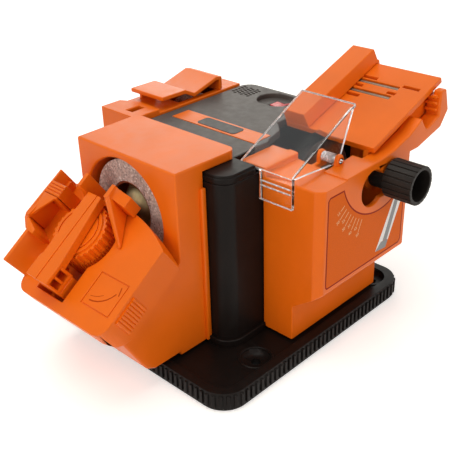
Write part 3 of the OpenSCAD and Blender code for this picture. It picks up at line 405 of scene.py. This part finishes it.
# nodes whose finish differs from the rest of their slot
skinFinish = {
    "chisel_wheel": bondedGrit("darkGrit"),
    "guide_rods": workedMetal("brownSteel"),
    "label_field": mouldedPlastic("fieldGrey"),
    "lock_knob": mouldedPlastic("knobBlack"),
}
printAndShadeInks = {name: printAndShadeInk(name) for name in printAndShadeSet}
nodeSlot = {part["node"]: part["material_slot"] for part in frame["record"]["subparts"]}
nodeBody = {name: body for body, names in frame["record"]["behaviour"]["bodies"].items() for name in names}


def finishOf(node):
    return skinFinish.get(node, slotFinish[nodeSlot[node]])


for name, item in frame["nodes"].items():
    item.data.materials.clear()
    item.data.materials.append(finishOf(name))
print("finishes ready:", len(slotFinish) + len(printAndShadeInks))


# a new piece rides with the node that carries it
def finishPiece(piece, node):
    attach(piece, nodeBody[node])
    return piece


# softened pieces share these: what is merged, what counts as an edge, how much of it is rounded
# faces with splitFrom corners or more end up as triangles
edgeRule = {"merge": 0.02, "flat": 0.5, "convex": 28, "shortest": 0.4, "sharp": 38,
            "alongside": 0.85, "roomShare": 0.4, "lengthShare": 0.7, "splitFrom": 5}
# moulded edges: each CAD shell gets a merged copy with rounded corners, by width and steps
edgeSet = {
    "base_plate": (0.25, 2), "motor_housing": (0.6, 3), "top_cover": (0.7, 3),
    "label_strip": (0.15, 2), "label_field": (0.15, 2),
    "drill_housing": (1.0, 4), "chisel_housing": (0.8, 3),
    "knife_housing": (0.6, 3), "knife_hold_down": (0.5, 3),
    "drill_holder": (0.5, 3), "size_dial": (0.2, 2), "dial_ring": (0.12, 2),
    "left_jaw": (0.3, 2), "right_jaw": (0.3, 2), "feed_bar": (0.5, 3), "holder_latch": (0.3, 2),
    "chisel_plate": (0.35, 2), "chisel_fence": (0.5, 3), "lock_knob": (0.25, 2), "guard": (0.3, 2),
    "switch_rocker": (0.4, 3), "switch_body": (0.3, 2), "cord_inlet": (0.4, 3),
    "drill_wheel": (0.3, 2), "chisel_wheel": (0.3, 2), "knife_wheel": (0.3, 2),
    "drill_wheel_bush": (0.15, 2), "drill_wheel_nut": (0.2, 2), "guard_pin": (0.3, 2),
    "chisel_wheel_hub": (0.3, 2), "knife_wheel_hub": (0.3, 2),
}

# the drill holder's own slope: u up the slope, y across, n off its face
slopeSet = {"origin": (-100.4, 52.1), "tilt": 35.0}


def slopePoint(u, y, n):
    tilt = math.radians(slopeSet["tilt"])
    x, z = slopeSet["origin"]
    return x + u * math.cos(tilt) - n * math.sin(tilt), y, z + u * math.sin(tilt) + n * math.cos(tilt)


# a box between two corners, in the frame's own directions unless toFrame reads others
def addBox(work, low, high, toFrame=lambda *spot: spot):
    for vert in bmesh.ops.create_cube(work, size=1.0)["verts"]:
        spot = [a + (b - a) * (c + 0.5) for a, b, c in zip(low, high, vert.co)]
        vert.co = Vector(toFrame(*spot)) * mm


def addPrism(work, low, high):
    ends = [[work.verts.new(Vector(spot) * mm) for spot in ring] for ring in (low, high)]
    work.faces.new(ends[0])
    work.faces.new(ends[1][::-1])
    for i in range(len(low)):
        work.faces.new((ends[0][i - 1], ends[1][i - 1], ends[1][i], ends[0][i]))


# the cover's corner on the column is black like the column
capSet = {"top_cover": {"x": -6.0, "y": -26.5, "slot": "black_plastic"}}


def markCap(name, mesh):
    x, y = (capSet[name][axis] for axis in "xy")
    work = bmesh.new()
    work.from_mesh(mesh)
    for spot, across in (((0, y, 0), (0, 1, 0)), ((x, 0, 0), (1, 0, 0))):
        parts = list(work.verts) + list(work.edges) + list(work.faces)
        bmesh.ops.bisect_plane(work, geom=parts, plane_co=Vector(spot) * mm, plane_no=across)
    for face in work.faces:
        middle = face.calc_center_median() / mm
        face.material_index = int(middle.x < x and middle.y < y)
    settled(work, mesh)


# bench screws at the corners of a rectangle, with raised rims, and vents in staggered rows
screwSet = {"centre": (10.5, 0.0), "across": 96.0, "along": 110.0,
            "level": 8.6, "radius": 8.0, "bead": 0.55, "ringSides": 48, "beadSides": 10}
ventSet = {"corner": (46.0, 25.0), "pitch": 2.4, "columns": 5, "rows": 6}


def screwSpots():
    x, y = screwSet["centre"]
    halfX, halfY = screwSet["across"] / 2, screwSet["along"] / 2
    return [(x + i * halfX, y + j * halfY) for i in (-1, 1) for j in (-1, 1)]


def ventSpots():
    (x, y), pitch = ventSet["corner"], ventSet["pitch"]
    places = [(i, j) for i in range(ventSet["columns"]) for j in range(ventSet["rows"])]
    return [(x + i * pitch + (j % 2) * pitch / 2, y + j * pitch) for i, j in places]


# cuts: rounded lip corners, room for the holder's side frame and feed bar's pockets, wider dishes and vents
# an early cut comes before the edges are rounded, and edges past a crisp x stay as they are
lipLow, lipHigh = (tuple(c / mm for c in end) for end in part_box("drill_housing"))
lipRadius = 4.0
crispMargin = 0.1
cutSet = {
    "drill_housing": {"early": True, "corners": [(lipHigh[0], lipLow[1], 1), (lipHigh[0], lipHigh[1], -1)],
                      "radius": lipRadius, "span": (80.0, 120.0), "turnStep": 10, "over": 1.0,
                      "crisp": lipHigh[0] - lipRadius - crispMargin},
    "drill_holder": {"early": True, "blocks": [((46.2, 36.0, 0.15), (64.0, 46.0, 24.0)),
                                               ((14.8, 29.8, 0.15), (20.3, 46.0, 24.0))]},
    "feed_bar": {"early": True, "blocks": [((-1.8, 2.0, 1.7), (7.6, 9.2, 10.0))]},
    "base_plate": {"spots": screwSpots(), "low": (6.4, 6.2), "high": (7.9, 8.9), "sides": 48},
    "top_cover": {"spots": ventSpots(), "low": (0.95, 94.0), "high": (0.95, 101.0), "sides": 16},
}


def lipOutline(cut, x, y, side):
    radius, over = cut["radius"], cut["over"]
    turns = [math.radians(turn) for turn in range(0, 91, cut["turnStep"])]
    points = [(x + over, y + side * radius)]
    points += [(x - radius + radius * math.cos(t), y + side * radius * (1 - math.sin(t))) for t in turns]
    return points + [(x - radius, y - side * over), (x + over, y - side * over)]


def cutterMesh(name):
    cut = cutSet[name]
    work = bmesh.new()
    for low, high in cut.get("blocks", []):
        addBox(work, low, high, slopePoint)
    for corner in cut.get("corners", []):
        outline = lipOutline(cut, *corner)
        addPrism(work, *([(a, b, z) for a, b in outline] for z in cut["span"]))
        bmesh.ops.recalc_face_normals(work, faces=work.faces)
    for x, y in cut.get("spots", []):
        (lowRadius, lowZ), (highRadius, highZ) = cut["low"], cut["high"]
        middle = Matrix.Translation(Vector((x, y, (lowZ + highZ) / 2)) * mm)
        bmesh.ops.create_cone(work, cap_ends=True, segments=cut["sides"], radius1=lowRadius * mm,
                              radius2=highRadius * mm, depth=(highZ - lowZ) * mm, matrix=middle)
    return settled(work, bpy.data.meshes.new(name + "Cutter"))


def carved(name, mesh):
    draft = linked(name + "Carved", mesh)
    cutter = linked(name + "Cutter", cutterMesh(name))
    hollow = draft.modifiers.new("cutOpen", "BOOLEAN")
    hollow.operation = "DIFFERENCE"
    hollow.solver = "EXACT"
    hollow.object = cutter
    made = evaluatedMesh(draft)
    for item in (draft, cutter):
        bpy.data.objects.remove(item)
    return made


def mergedWork(mesh):
    work = bmesh.new()
    work.from_mesh(mesh)
    bmesh.ops.remove_doubles(work, verts=work.verts, dist=edgeRule["merge"] * mm)
    flat = math.radians(edgeRule["flat"])
    bmesh.ops.dissolve_limit(work, angle_limit=flat, verts=work.verts, edges=work.edges)
    return work


# how far an edge can be cut back before it meets its neighbours
def edgeRoom(edge):
    along = (edge.verts[1].co - edge.verts[0].co).normalized()
    room = math.inf
    for loop in edge.link_loops:
        for other in (loop.link_loop_prev.edge, loop.link_loop_next.edge):
            across = other.verts[1].co - other.verts[0].co
            if abs(across.normalized().dot(along)) < edgeRule["alongside"]:
                room = min(room, across.length)
    return min(edgeRule["roomShare"] * room, edgeRule["lengthShare"] * edge.calc_length())


def weighEdges(work, width, crisp):
    weight = work.edges.layers.float.new("bevel_weight_edge")
    steep, shortest = math.radians(edgeRule["convex"]), edgeRule["shortest"] * mm
    for edge in work.edges:
        if min(vert.co.x for vert in edge.verts) > crisp:
            continue
        if edge.is_convex and edge.calc_face_angle() > steep and edge.calc_length() > shortest:
            edge[weight] = min(1.0, edgeRoom(edge) / width)


def softMesh(name):
    width, steps = edgeSet[name]
    cut = cutSet.get(name, {})
    mesh = frame["nodes"][name].data.copy()
    work = mergedWork(mesh)
    if cut.get("early"):
        bmesh.ops.triangulate(work, faces=work.faces)
        mesh = carved(name, settled(work, mesh))
        work = mergedWork(mesh)
    weighEdges(work, width * mm, cut.get("crisp", math.inf) * mm)
    draft = linked(name + "Draft", settled(work, mesh))
    bevel = draft.modifiers.new("softEdges", "BEVEL")
    bevel.width = width * mm
    bevel.segments = steps
    bevel.limit_method = "WEIGHT"
    bevel.use_clamp_overlap = False
    soft = evaluatedMesh(draft)
    draft.modifiers.remove(bevel)
    if cut and not cut.get("early"):
        soft = carved(name, soft)
    if name in capSet:
        markCap(name, soft)
    shadeSmooth(soft, edgeRule["sharp"])
    draft.data = soft
    if name != "guard":  # its thin faces are told apart whole
        draft.modifiers.new("splitFaces", "TRIANGULATE").min_vertices = edgeRule["splitFrom"]
    draft.modifiers.new("evenFaces", "WEIGHTED_NORMAL").keep_sharp = True
    made = evaluatedMesh(draft)
    bpy.data.objects.remove(draft)
    return made


def roundedCopy(name):
    mesh = softMesh(name)
    marks = [face.material_index for face in mesh.polygons]  # clearing the materials resets them
    mesh.materials.clear()
    mesh.materials.append(finishOf(name))
    if name in capSet:
        mesh.materials.append(slotFinish[capSet[name]["slot"]])
        mesh.polygons.foreach_set("material_index", marks)
    piece = linked(name + "Skin", mesh)
    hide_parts(name)
    return finishPiece(piece, name)


skins = {name: roundedCopy(name) for name in edgeSet}
print("rounded skins:", len(skins))


def solidPiece(name, work, material, node):
    bmesh.ops.recalc_face_normals(work, faces=work.faces)
    mesh = settled(work, bpy.data.meshes.new(name))
    shadeSmooth(mesh, edgeRule["sharp"])
    mesh.materials.append(material)
    return finishPiece(linked(name, mesh), node)


def soften(work, radius, steps):
    edges = list(work.edges)
    bmesh.ops.bevel(work, geom=edges, offset=radius * mm, segments=steps, profile=0.5, affect="EDGES")


# softened bar with its place in the mesh, for small ribs and flanges
def softBar(name, low, high, radius, material, node):
    work = bmesh.new()
    addBox(work, low, high)
    soften(work, radius, steps=3)
    return solidPiece(name, work, material, node)


# softened slab: an outline in two of the slope's directions, raised along the third
def slopeSlab(name, outline, span, raised, radius, node):
    work = bmesh.new()
    rings = []
    for level in span:
        spots = [(a, b, level) if raised == "n" else (a, level, b) for a, b in outline]
        rings.append([slopePoint(*spot) for spot in spots])
    addPrism(work, *rings)
    soften(work, radius, steps=2)
    return solidPiece(name, work, finishOf(node), node)


# guard: thin edge faces take a paler, hazier, less clear finish, a painted highlight in place of the bright
# rims that light bent through the sheet gives, and the flap has two ribs in that same painted-highlight
# finish
glintEdgeSet = {"through": 0.45, "ior": 1.4, "haze": 500, "tones": ((0.84, 0.87, 0.90), (0.95, 0.96, 0.97)),
            "gloss": (0.18, 0.32)}
guardSet = {"thin": 0.62, "flapX": (-19.85, -19.2), "flapY": (-60.2, -42.6), "ribLevels": (92.6, 90.2),
            "ribHigh": 0.6, "ribRadius": 0.15}


def paintedGlintPlastic():
    material, tree, shader, place = startFinish("glintEdgePlastic")
    haze = noiseOf(tree, place, glintEdgeSet["haze"], detail=3)
    setInputs(tree, shader, {
        "Transmission Weight": glintEdgeSet["through"],
        "IOR": glintEdgeSet["ior"],
        "Base Color": rampOf(tree, haze, list(zip(noiseSpan, glintEdgeSet["tones"]))),
        "Roughness": spreadOf(tree, haze, *glintEdgeSet["gloss"])})
    return material


def paintGlintEdges(piece, glintFinish):
    mesh = piece.data
    mesh.materials.append(glintFinish)
    for face in mesh.polygons:
        corners = [mesh.vertices[i].co for i in face.vertices]
        rim = sum((a - b).length for a, b in zip(corners, corners[1:] + corners[:1]))
        if face.area < guardSet["thin"] * mm * rim:
            # thin faces get the painted-highlight finish
            face.material_index = 1


def flapRibs(glintFinish):
    (x0, x1), (y0, y1), half = guardSet["flapX"], guardSet["flapY"], guardSet["ribHigh"] / 2
    for number, z in enumerate(guardSet["ribLevels"]):
        low, high = (x0, y0, z - half), (x1, y1, z + half)
        softBar("flapRib.%d" % number, low, high, guardSet["ribRadius"], glintFinish, "guard")


# paler finish for the guard's rims and ribs: painted highlight
glintEdgePlastic = paintedGlintPlastic()
paintGlintEdges(skins["guard"], glintEdgePlastic)
flapRibs(glintEdgePlastic)


# node trees: named inputs at the start, realised instances with a finish at the end
def startTree(name, sockets):
    tree = bpy.data.node_groups.new(name, "GeometryNodeTree")
    tree.interface.new_socket("Geometry", in_out="OUTPUT", socket_type="NodeSocketGeometry")
    inputs = {}
    for key, kind in sockets.items():
        socket = tree.interface.new_socket(key, in_out="INPUT", socket_type="NodeSocket" + kind)
        inputs[key] = socket.identifier
    return tree, inputs, tree.nodes.new("NodeGroupInput").outputs


def endTree(tree, instances, material):
    real = addNode(tree, "GeometryNodeRealizeInstances", {0: instances})
    finish = addNode(tree, "GeometryNodeSetMaterial", {"Geometry": real.outputs[0], "Material": material})
    addNode(tree, "NodeGroupOutput", {0: finish.outputs[0]})


# a node tree's result as a plain mesh
def treeMesh(name, treeAndInputs, values):
    tree, inputs = treeAndInputs
    draft = linked(name + "Draft", bpy.data.meshes.new(name + "Draft"))
    modifier = draft.modifiers.new(name, "NODES")
    modifier.node_group = tree
    for key, value in values.items():
        modifier[inputs[key]] = value
    made = evaluatedMesh(draft)
    draft.modifiers.remove(modifier)
    bpy.data.objects.remove(draft)
    return made


# rims of the base dishes as a node tree: a turned ring at each bench screw
def rimTree():
    tree, inputs, given = startTree("screwRims", {"Across": "Float", "Along": "Float", "Radius": "Float",
                                                  "Bead": "Float", "Finish": "Material"})
    spots = addNode(tree, "GeometryNodeMeshGrid", {"Vertices X": 2, "Vertices Y": 2,
                                                   "Size X": given["Across"], "Size Y": given["Along"]})
    circle = "GeometryNodeCurvePrimitiveCircle"
    ring = addNode(tree, circle, {"Resolution": screwSet["ringSides"], "Radius": given["Radius"]})
    bead = addNode(tree, circle, {"Resolution": screwSet["beadSides"], "Radius": given["Bead"]})
    sweep = addNode(tree, "GeometryNodeCurveToMesh", {
        "Curve": ring.outputs[0], "Profile Curve": bead.outputs[0]})
    put = addNode(tree, "GeometryNodeInstanceOnPoints", {
        "Points": spots.outputs[0], "Instance": sweep.outputs[0]})
    endTree(tree, put.outputs[0], given["Finish"])
    return tree, inputs


def makeRims():
    mesh = treeMesh("screwRims", rimTree(), {
        "Across": screwSet["across"] * mm, "Along": screwSet["along"] * mm,
        "Radius": screwSet["radius"] * mm, "Bead": screwSet["bead"] * mm, "Finish": finishOf("base_plate")})
    mesh.transform(Matrix.Translation(Vector((*screwSet["centre"], screwSet["level"])) * mm))
    shadeSmooth(mesh)
    finishPiece(linked("screwRims", mesh), "base_plate")


makeRims()

# rear flange of the drill housing, beside the black column
flangeSet = {"low": (-44.6, -30.0, 10.2), "high": (-41.7, -27.6, 92.6), "radius": 0.6}
softBar("drillFlange", flangeSet["low"], flangeSet["high"], flangeSet["radius"], finishOf("drill_housing"),
        "drill_housing")
print("guard edges, screw rims and flange ready")

# side frame of the drill holder: outer wall, ledge with a slanted edge, web beside the latch, slanted step
wingRadius = 0.25
wingSet = {
    "wall": {"raised": "y", "span": (42.02, 43.2),
             "outline": [(17.1, -16.8), (35.7, -16.8), (47.7, -0.1), (47.7, 12.2), (35.0, 12.5),
                         (20.9, 13.0), (18.5, 11.6), (17.1, -0.5)]},
    "ledge": {"raised": "n", "span": (11.4, 12.5),
              "outline": [(19.6, 42.1), (18.9, 40.2), (22.4, 39.6), (25.0, 38.1), (32.8, 33.4),
                          (34.2, 33.4), (34.2, 42.1)]},
    "web": {"raised": "n", "span": (-0.3, 12.45),
            "outline": [(33.0, 32.3), (34.2, 32.3), (34.2, 42.1), (33.0, 42.1)]},
    "step": {"raised": "n", "span": (-0.3, 12.3),
             "outline": [(13.6, 31.0), (15.8, 31.0), (20.8, 42.3), (20.6, 42.9), (18.9, 42.9),
                         (14.4, 37.3)]},
}
for part, wing in wingSet.items():
    slopeSlab("wingFrame." + part, wing["outline"], wing["span"], wing["raised"], wingRadius, "drill_holder")

# two pockets in the feed bar's side: floor, middle and end wall of the cut recess
pocketRadius = 0.12
pocketDepth = (3.2, 9.25)
pocketSet = {
    "floor": {"along": (-1.9, 7.55), "span": (1.65, 3.7)},
    "middle": {"along": (1.4, 2.6), "span": (3.6, 10.05)},
    "end": {"along": (6.1, 7.55), "span": (3.6, 10.05)},
}
for part, wall in pocketSet.items():
    (u0, u1), (y0, y1) = wall["along"], pocketDepth
    corners = [(u0, y0), (u1, y0), (u1, y1), (u0, y1)]
    slopeSlab("feedPocket." + part, corners, wall["span"], "n", pocketRadius, "feed_bar")
print("holder frame and feed pockets ready")


# flat prints and flat painted groove shade: outline in the plane, set just off the face that carries them
def flatPiece(name, faces, toFrame, material, node):
    mesh = bpy.data.meshes.new(name)
    points, polygons = [], []
    for face in faces:
        polygons.append(list(range(len(points), len(points) + len(face))))
        points += [tuple(c * mm for c in toFrame(*p)) for p in face]
    mesh.from_pydata(points, [], polygons)
    mesh.validate()
    mesh.materials.append(material)
    return finishPiece(linked(name, mesh), node)


leastMitre = 0.4  # keeps a ribbon's sharp corners from growing long points


def ribbonFaces(points, width, closed=False):
    spots = [Vector(p) for p in points]
    count = len(spots)
    sides = []
    for i, here in enumerate(spots):
        before = spots[i - 1] if closed or i else None
        after = spots[(i + 1) % count] if closed or i < count - 1 else None
        a = (here - before).normalized() if before is not None else (after - here).normalized()
        b = (after - here).normalized() if after is not None else a
        mitre = (a + b).normalized()
        side = Vector((-mitre.y, mitre.x)) * (width / 2 / max(leastMitre, mitre.dot(b)))
        sides.append((here + side, here - side))
    faces = []
    for i in range(count if closed else count - 1):
        p, q = sides[i], sides[(i + 1) % count]
        faces.append([tuple(p[0]), tuple(p[1]), tuple(q[1]), tuple(q[0])])
    return faces


def arcPoints(centre, radius, start, end, steps):
    angles = [math.radians(start + (end - start) * i / steps) for i in range(steps + 1)]
    return [(centre[0] + radius * math.cos(a), centre[1] + radius * math.sin(a)) for a in angles]


# angle label on the chisel housing, with its arc about the plate's tilt pivot
labelSet = {"node": "chisel_housing", "face": -75.0, "pivot": (29.0, 99.6), "arc": 30.5, "arcSteps": 28,
            "left": -11.1, "right": 50.6, "low": 42.9, "top": 89.8, "line": 0.7,
            "topCut": 1.2, "lowCut": 1.0, "rightCut": 1.6,
            "panelLift": 0.04, "borderLift": 0.07, "markLift": 0.09}
tickSet = {"first": -148.0, "step": 4.8, "count": 8, "inner": 33.0, "short": 3.4, "long": 6.2, "width": 0.32}
digitSet = {"size": 2.3, "gap": 1.6, "turn": 24, "first": 15, "step": 5}
upright = Matrix.Rotation(math.radians(90), 4, "X")  # from flat to the label's standing face


def onLabel(lift):
    return lambda x, z: (x, labelSet["face"] - lift, z)


def labelOutline():
    left, right, low, top = (labelSet[side] for side in ("left", "right", "low", "top"))
    topCut, lowCut, rightCut = (labelSet[cut] for cut in ("topCut", "lowCut", "rightCut"))
    centre, radius = labelSet["pivot"], labelSet["arc"]
    reachTop = centre[0] - math.sqrt(radius ** 2 - (centre[1] - top) ** 2)
    reachRight = centre[1] - math.sqrt(radius ** 2 - (right - centre[0]) ** 2)
    topAngle = math.degrees(math.atan2(top - centre[1], reachTop - centre[0]))
    rightAngle = math.degrees(math.atan2(reachRight - centre[1], right - centre[0]))
    points = [(left, top - topCut), (left, low + lowCut), (left + lowCut, low),
              (right - rightCut, low), (right, low + rightCut)]
    points += arcPoints(centre, radius, rightAngle, topAngle, labelSet["arcSteps"])
    return points + [(left + topCut, top)]


def makePanel():
    outline = labelOutline()
    border = ribbonFaces(outline, labelSet["line"], True)
    flatPiece("labelPanel", [outline], onLabel(labelSet["panelLift"]), printAndShadeInks["labelOrange"], labelSet["node"])
    # the border ribbon's dark red is painted shade in place of the shadow in the label's debossed border
    # groove
    flatPiece("labelBorder", border, onLabel(labelSet["borderLift"]), printAndShadeInks["borderGrooveShade"], labelSet["node"])


# tick fan as a node tree: a bar instanced round the pivot, short and long by turns
def tickTree():
    tree, inputs, given = startTree("tickFan", {
        "Count": "Int", "First Angle": "Float", "Step": "Float", "Inner Radius": "Float",
        "Short": "Float", "Long": "Float", "Width": "Float", "Ink": "Material"})

    def calc(operation, a, b=0.0):
        return mathOf(tree, operation, a, b)

    line = addNode(tree, "GeometryNodeMeshLine", {"Count": given["Count"], "Offset": (0, 0, 0)})
    index = tree.nodes.new("GeometryNodeInputIndex").outputs[0]
    angle = calc("ADD", given["First Angle"], calc("MULTIPLY", index, given["Step"]))
    odd = calc("MODULO", index, 2.0)
    extra = calc("MULTIPLY", odd, calc("SUBTRACT", given["Long"], given["Short"]))
    length = calc("ADD", given["Short"], extra)
    reach = calc("ADD", given["Inner Radius"], calc("MULTIPLY", length, 0.5))
    spot = addNode(tree, "ShaderNodeCombineXYZ", {"X": calc("MULTIPLY", reach, calc("COSINE", angle)),
                                                  "Y": calc("MULTIPLY", reach, calc("SINE", angle))})
    move = addNode(tree, "GeometryNodeSetPosition", {
        "Geometry": line.outputs[0], "Position": spot.outputs[0]})
    bar = addNode(tree, "GeometryNodeMeshGrid", {"Vertices X": 2, "Vertices Y": 2,
                                                 "Size X": 1.0, "Size Y": given["Width"]})
    turn = addNode(tree, "ShaderNodeCombineXYZ", {"Z": angle})
    size = addNode(tree, "ShaderNodeCombineXYZ", {"X": length, "Y": 1.0, "Z": 1.0})
    put = addNode(tree, "GeometryNodeInstanceOnPoints", {
        "Points": move.outputs[0], "Instance": bar.outputs[0],
        "Rotation": turn.outputs[0], "Scale": size.outputs[0]})
    endTree(tree, put.outputs[0], given["Ink"])
    return tree, inputs


def makeTicks():
    mesh = treeMesh("labelTicks", tickTree(), {
        "Count": tickSet["count"], "First Angle": math.radians(tickSet["first"]),
        "Step": math.radians(tickSet["step"]), "Inner Radius": tickSet["inner"] * mm,
        "Short": tickSet["short"] * mm, "Long": tickSet["long"] * mm, "Width": tickSet["width"] * mm,
        "Ink": printAndShadeInks["labelCream"]})
    place = Vector(onLabel(labelSet["markLift"])(*labelSet["pivot"])) * mm
    mesh.transform(Matrix.Translation(place) @ upright)
    finishPiece(linked("labelTicks", mesh), labelSet["node"])


def makeDigits():
    x, z = labelSet["pivot"]
    toFrame = onLabel(labelSet["markLift"])
    slant = Matrix.Rotation(math.radians(digitSet["turn"]), 4, "Z")
    work = bmesh.new()
    for i in range(tickSet["count"]):
        angle = math.radians(tickSet["first"] + tickSet["step"] * i)
        reach = tickSet["inner"] + tickSet["long" if i % 2 else "short"] + digitSet["gap"]
        text = bpy.data.curves.new("digits", "FONT")
        text.body = str(digitSet["first"] + digitSet["step"] * i)
        text.size = digitSet["size"] * mm
        text.align_x, text.align_y = "CENTER", "CENTER"
        draft = linked("digits", text)
        mesh = evaluatedMesh(draft)
        bpy.data.objects.remove(draft)
        place = Vector(toFrame(x + reach * math.cos(angle), z + reach * math.sin(angle))) * mm
        mesh.transform(Matrix.Translation(place) @ upright @ slant)
        work.from_mesh(mesh)
        bpy.data.meshes.remove(mesh)
    made = settled(work, bpy.data.meshes.new("labelDigits"))
    made.materials.append(printAndShadeInks["labelCream"])
    finishPiece(linked("labelDigits", made), labelSet["node"])


makePanel()
makeTicks()
makeDigits()

# chisel drawing: blade in two tones with its ground tip
chiselSet = {
    "shade": {"ink": "printSteel", "outline": [(34.6, 49.6), (38.3, 49.3), (47.2, 72.0), (43.8, 72.0)]},
    "left": {"ink": "printSilver",
             "outline": [(28.6, 45.8), (33.1, 49.6), (34.6, 49.6), (43.8, 72.0), (41.6, 70.4)]},
    "light": {"ink": "printSilver", "outline": [(38.3, 49.3), (39.2, 48.5), (50.0, 70.5), (47.2, 72.0)]},
    "tip": {"ink": "printSteel",
            "outline": [(28.6, 45.8), (37.4, 44.9), (39.2, 48.5), (38.5, 49.1), (33.1, 49.6)]},
}
for part, tone in chiselSet.items():
    flatPiece("chiselDrawing." + part, [tone["outline"]], onLabel(labelSet["markLift"]), printAndShadeInks[tone["ink"]],
              labelSet["node"])
print("label drawn")

# curved arrow marked in the holder's square, a thin and a bold line with a bar head, laid as flat dark
# ribbons: painted shade in place of the shadow in the engraved groove
arrowLift = 0.04
arrowSet = {
    "bold": {"width": 0.6, "line": [(2.4, -12.0), (2.7, -14.4), (3.5, -16.9), (4.7, -19.1), (6.2, -21.0),
                                    (8.2, -22.6), (10.3, -23.7)]},
    "thin": {"width": 0.25, "line": [(4.3, -11.2), (4.8, -13.4), (5.6, -15.6), (7.1, -17.9)]},
    "head": {"width": 0.55, "line": [(13.8, -24.2), (9.9, -25.4)]},
}


def onSlope(lift):
    return lambda u, y: slopePoint(u, y, lift)


for part, stroke in arrowSet.items():
    ribbon = ribbonFaces(stroke["line"], stroke["width"])
    flatPiece("turnArrow." + part, ribbon, onSlope(arrowLift), printAndShadeInks["arrowGrooveShade"], "drill_holder")
print("arrow drawn")
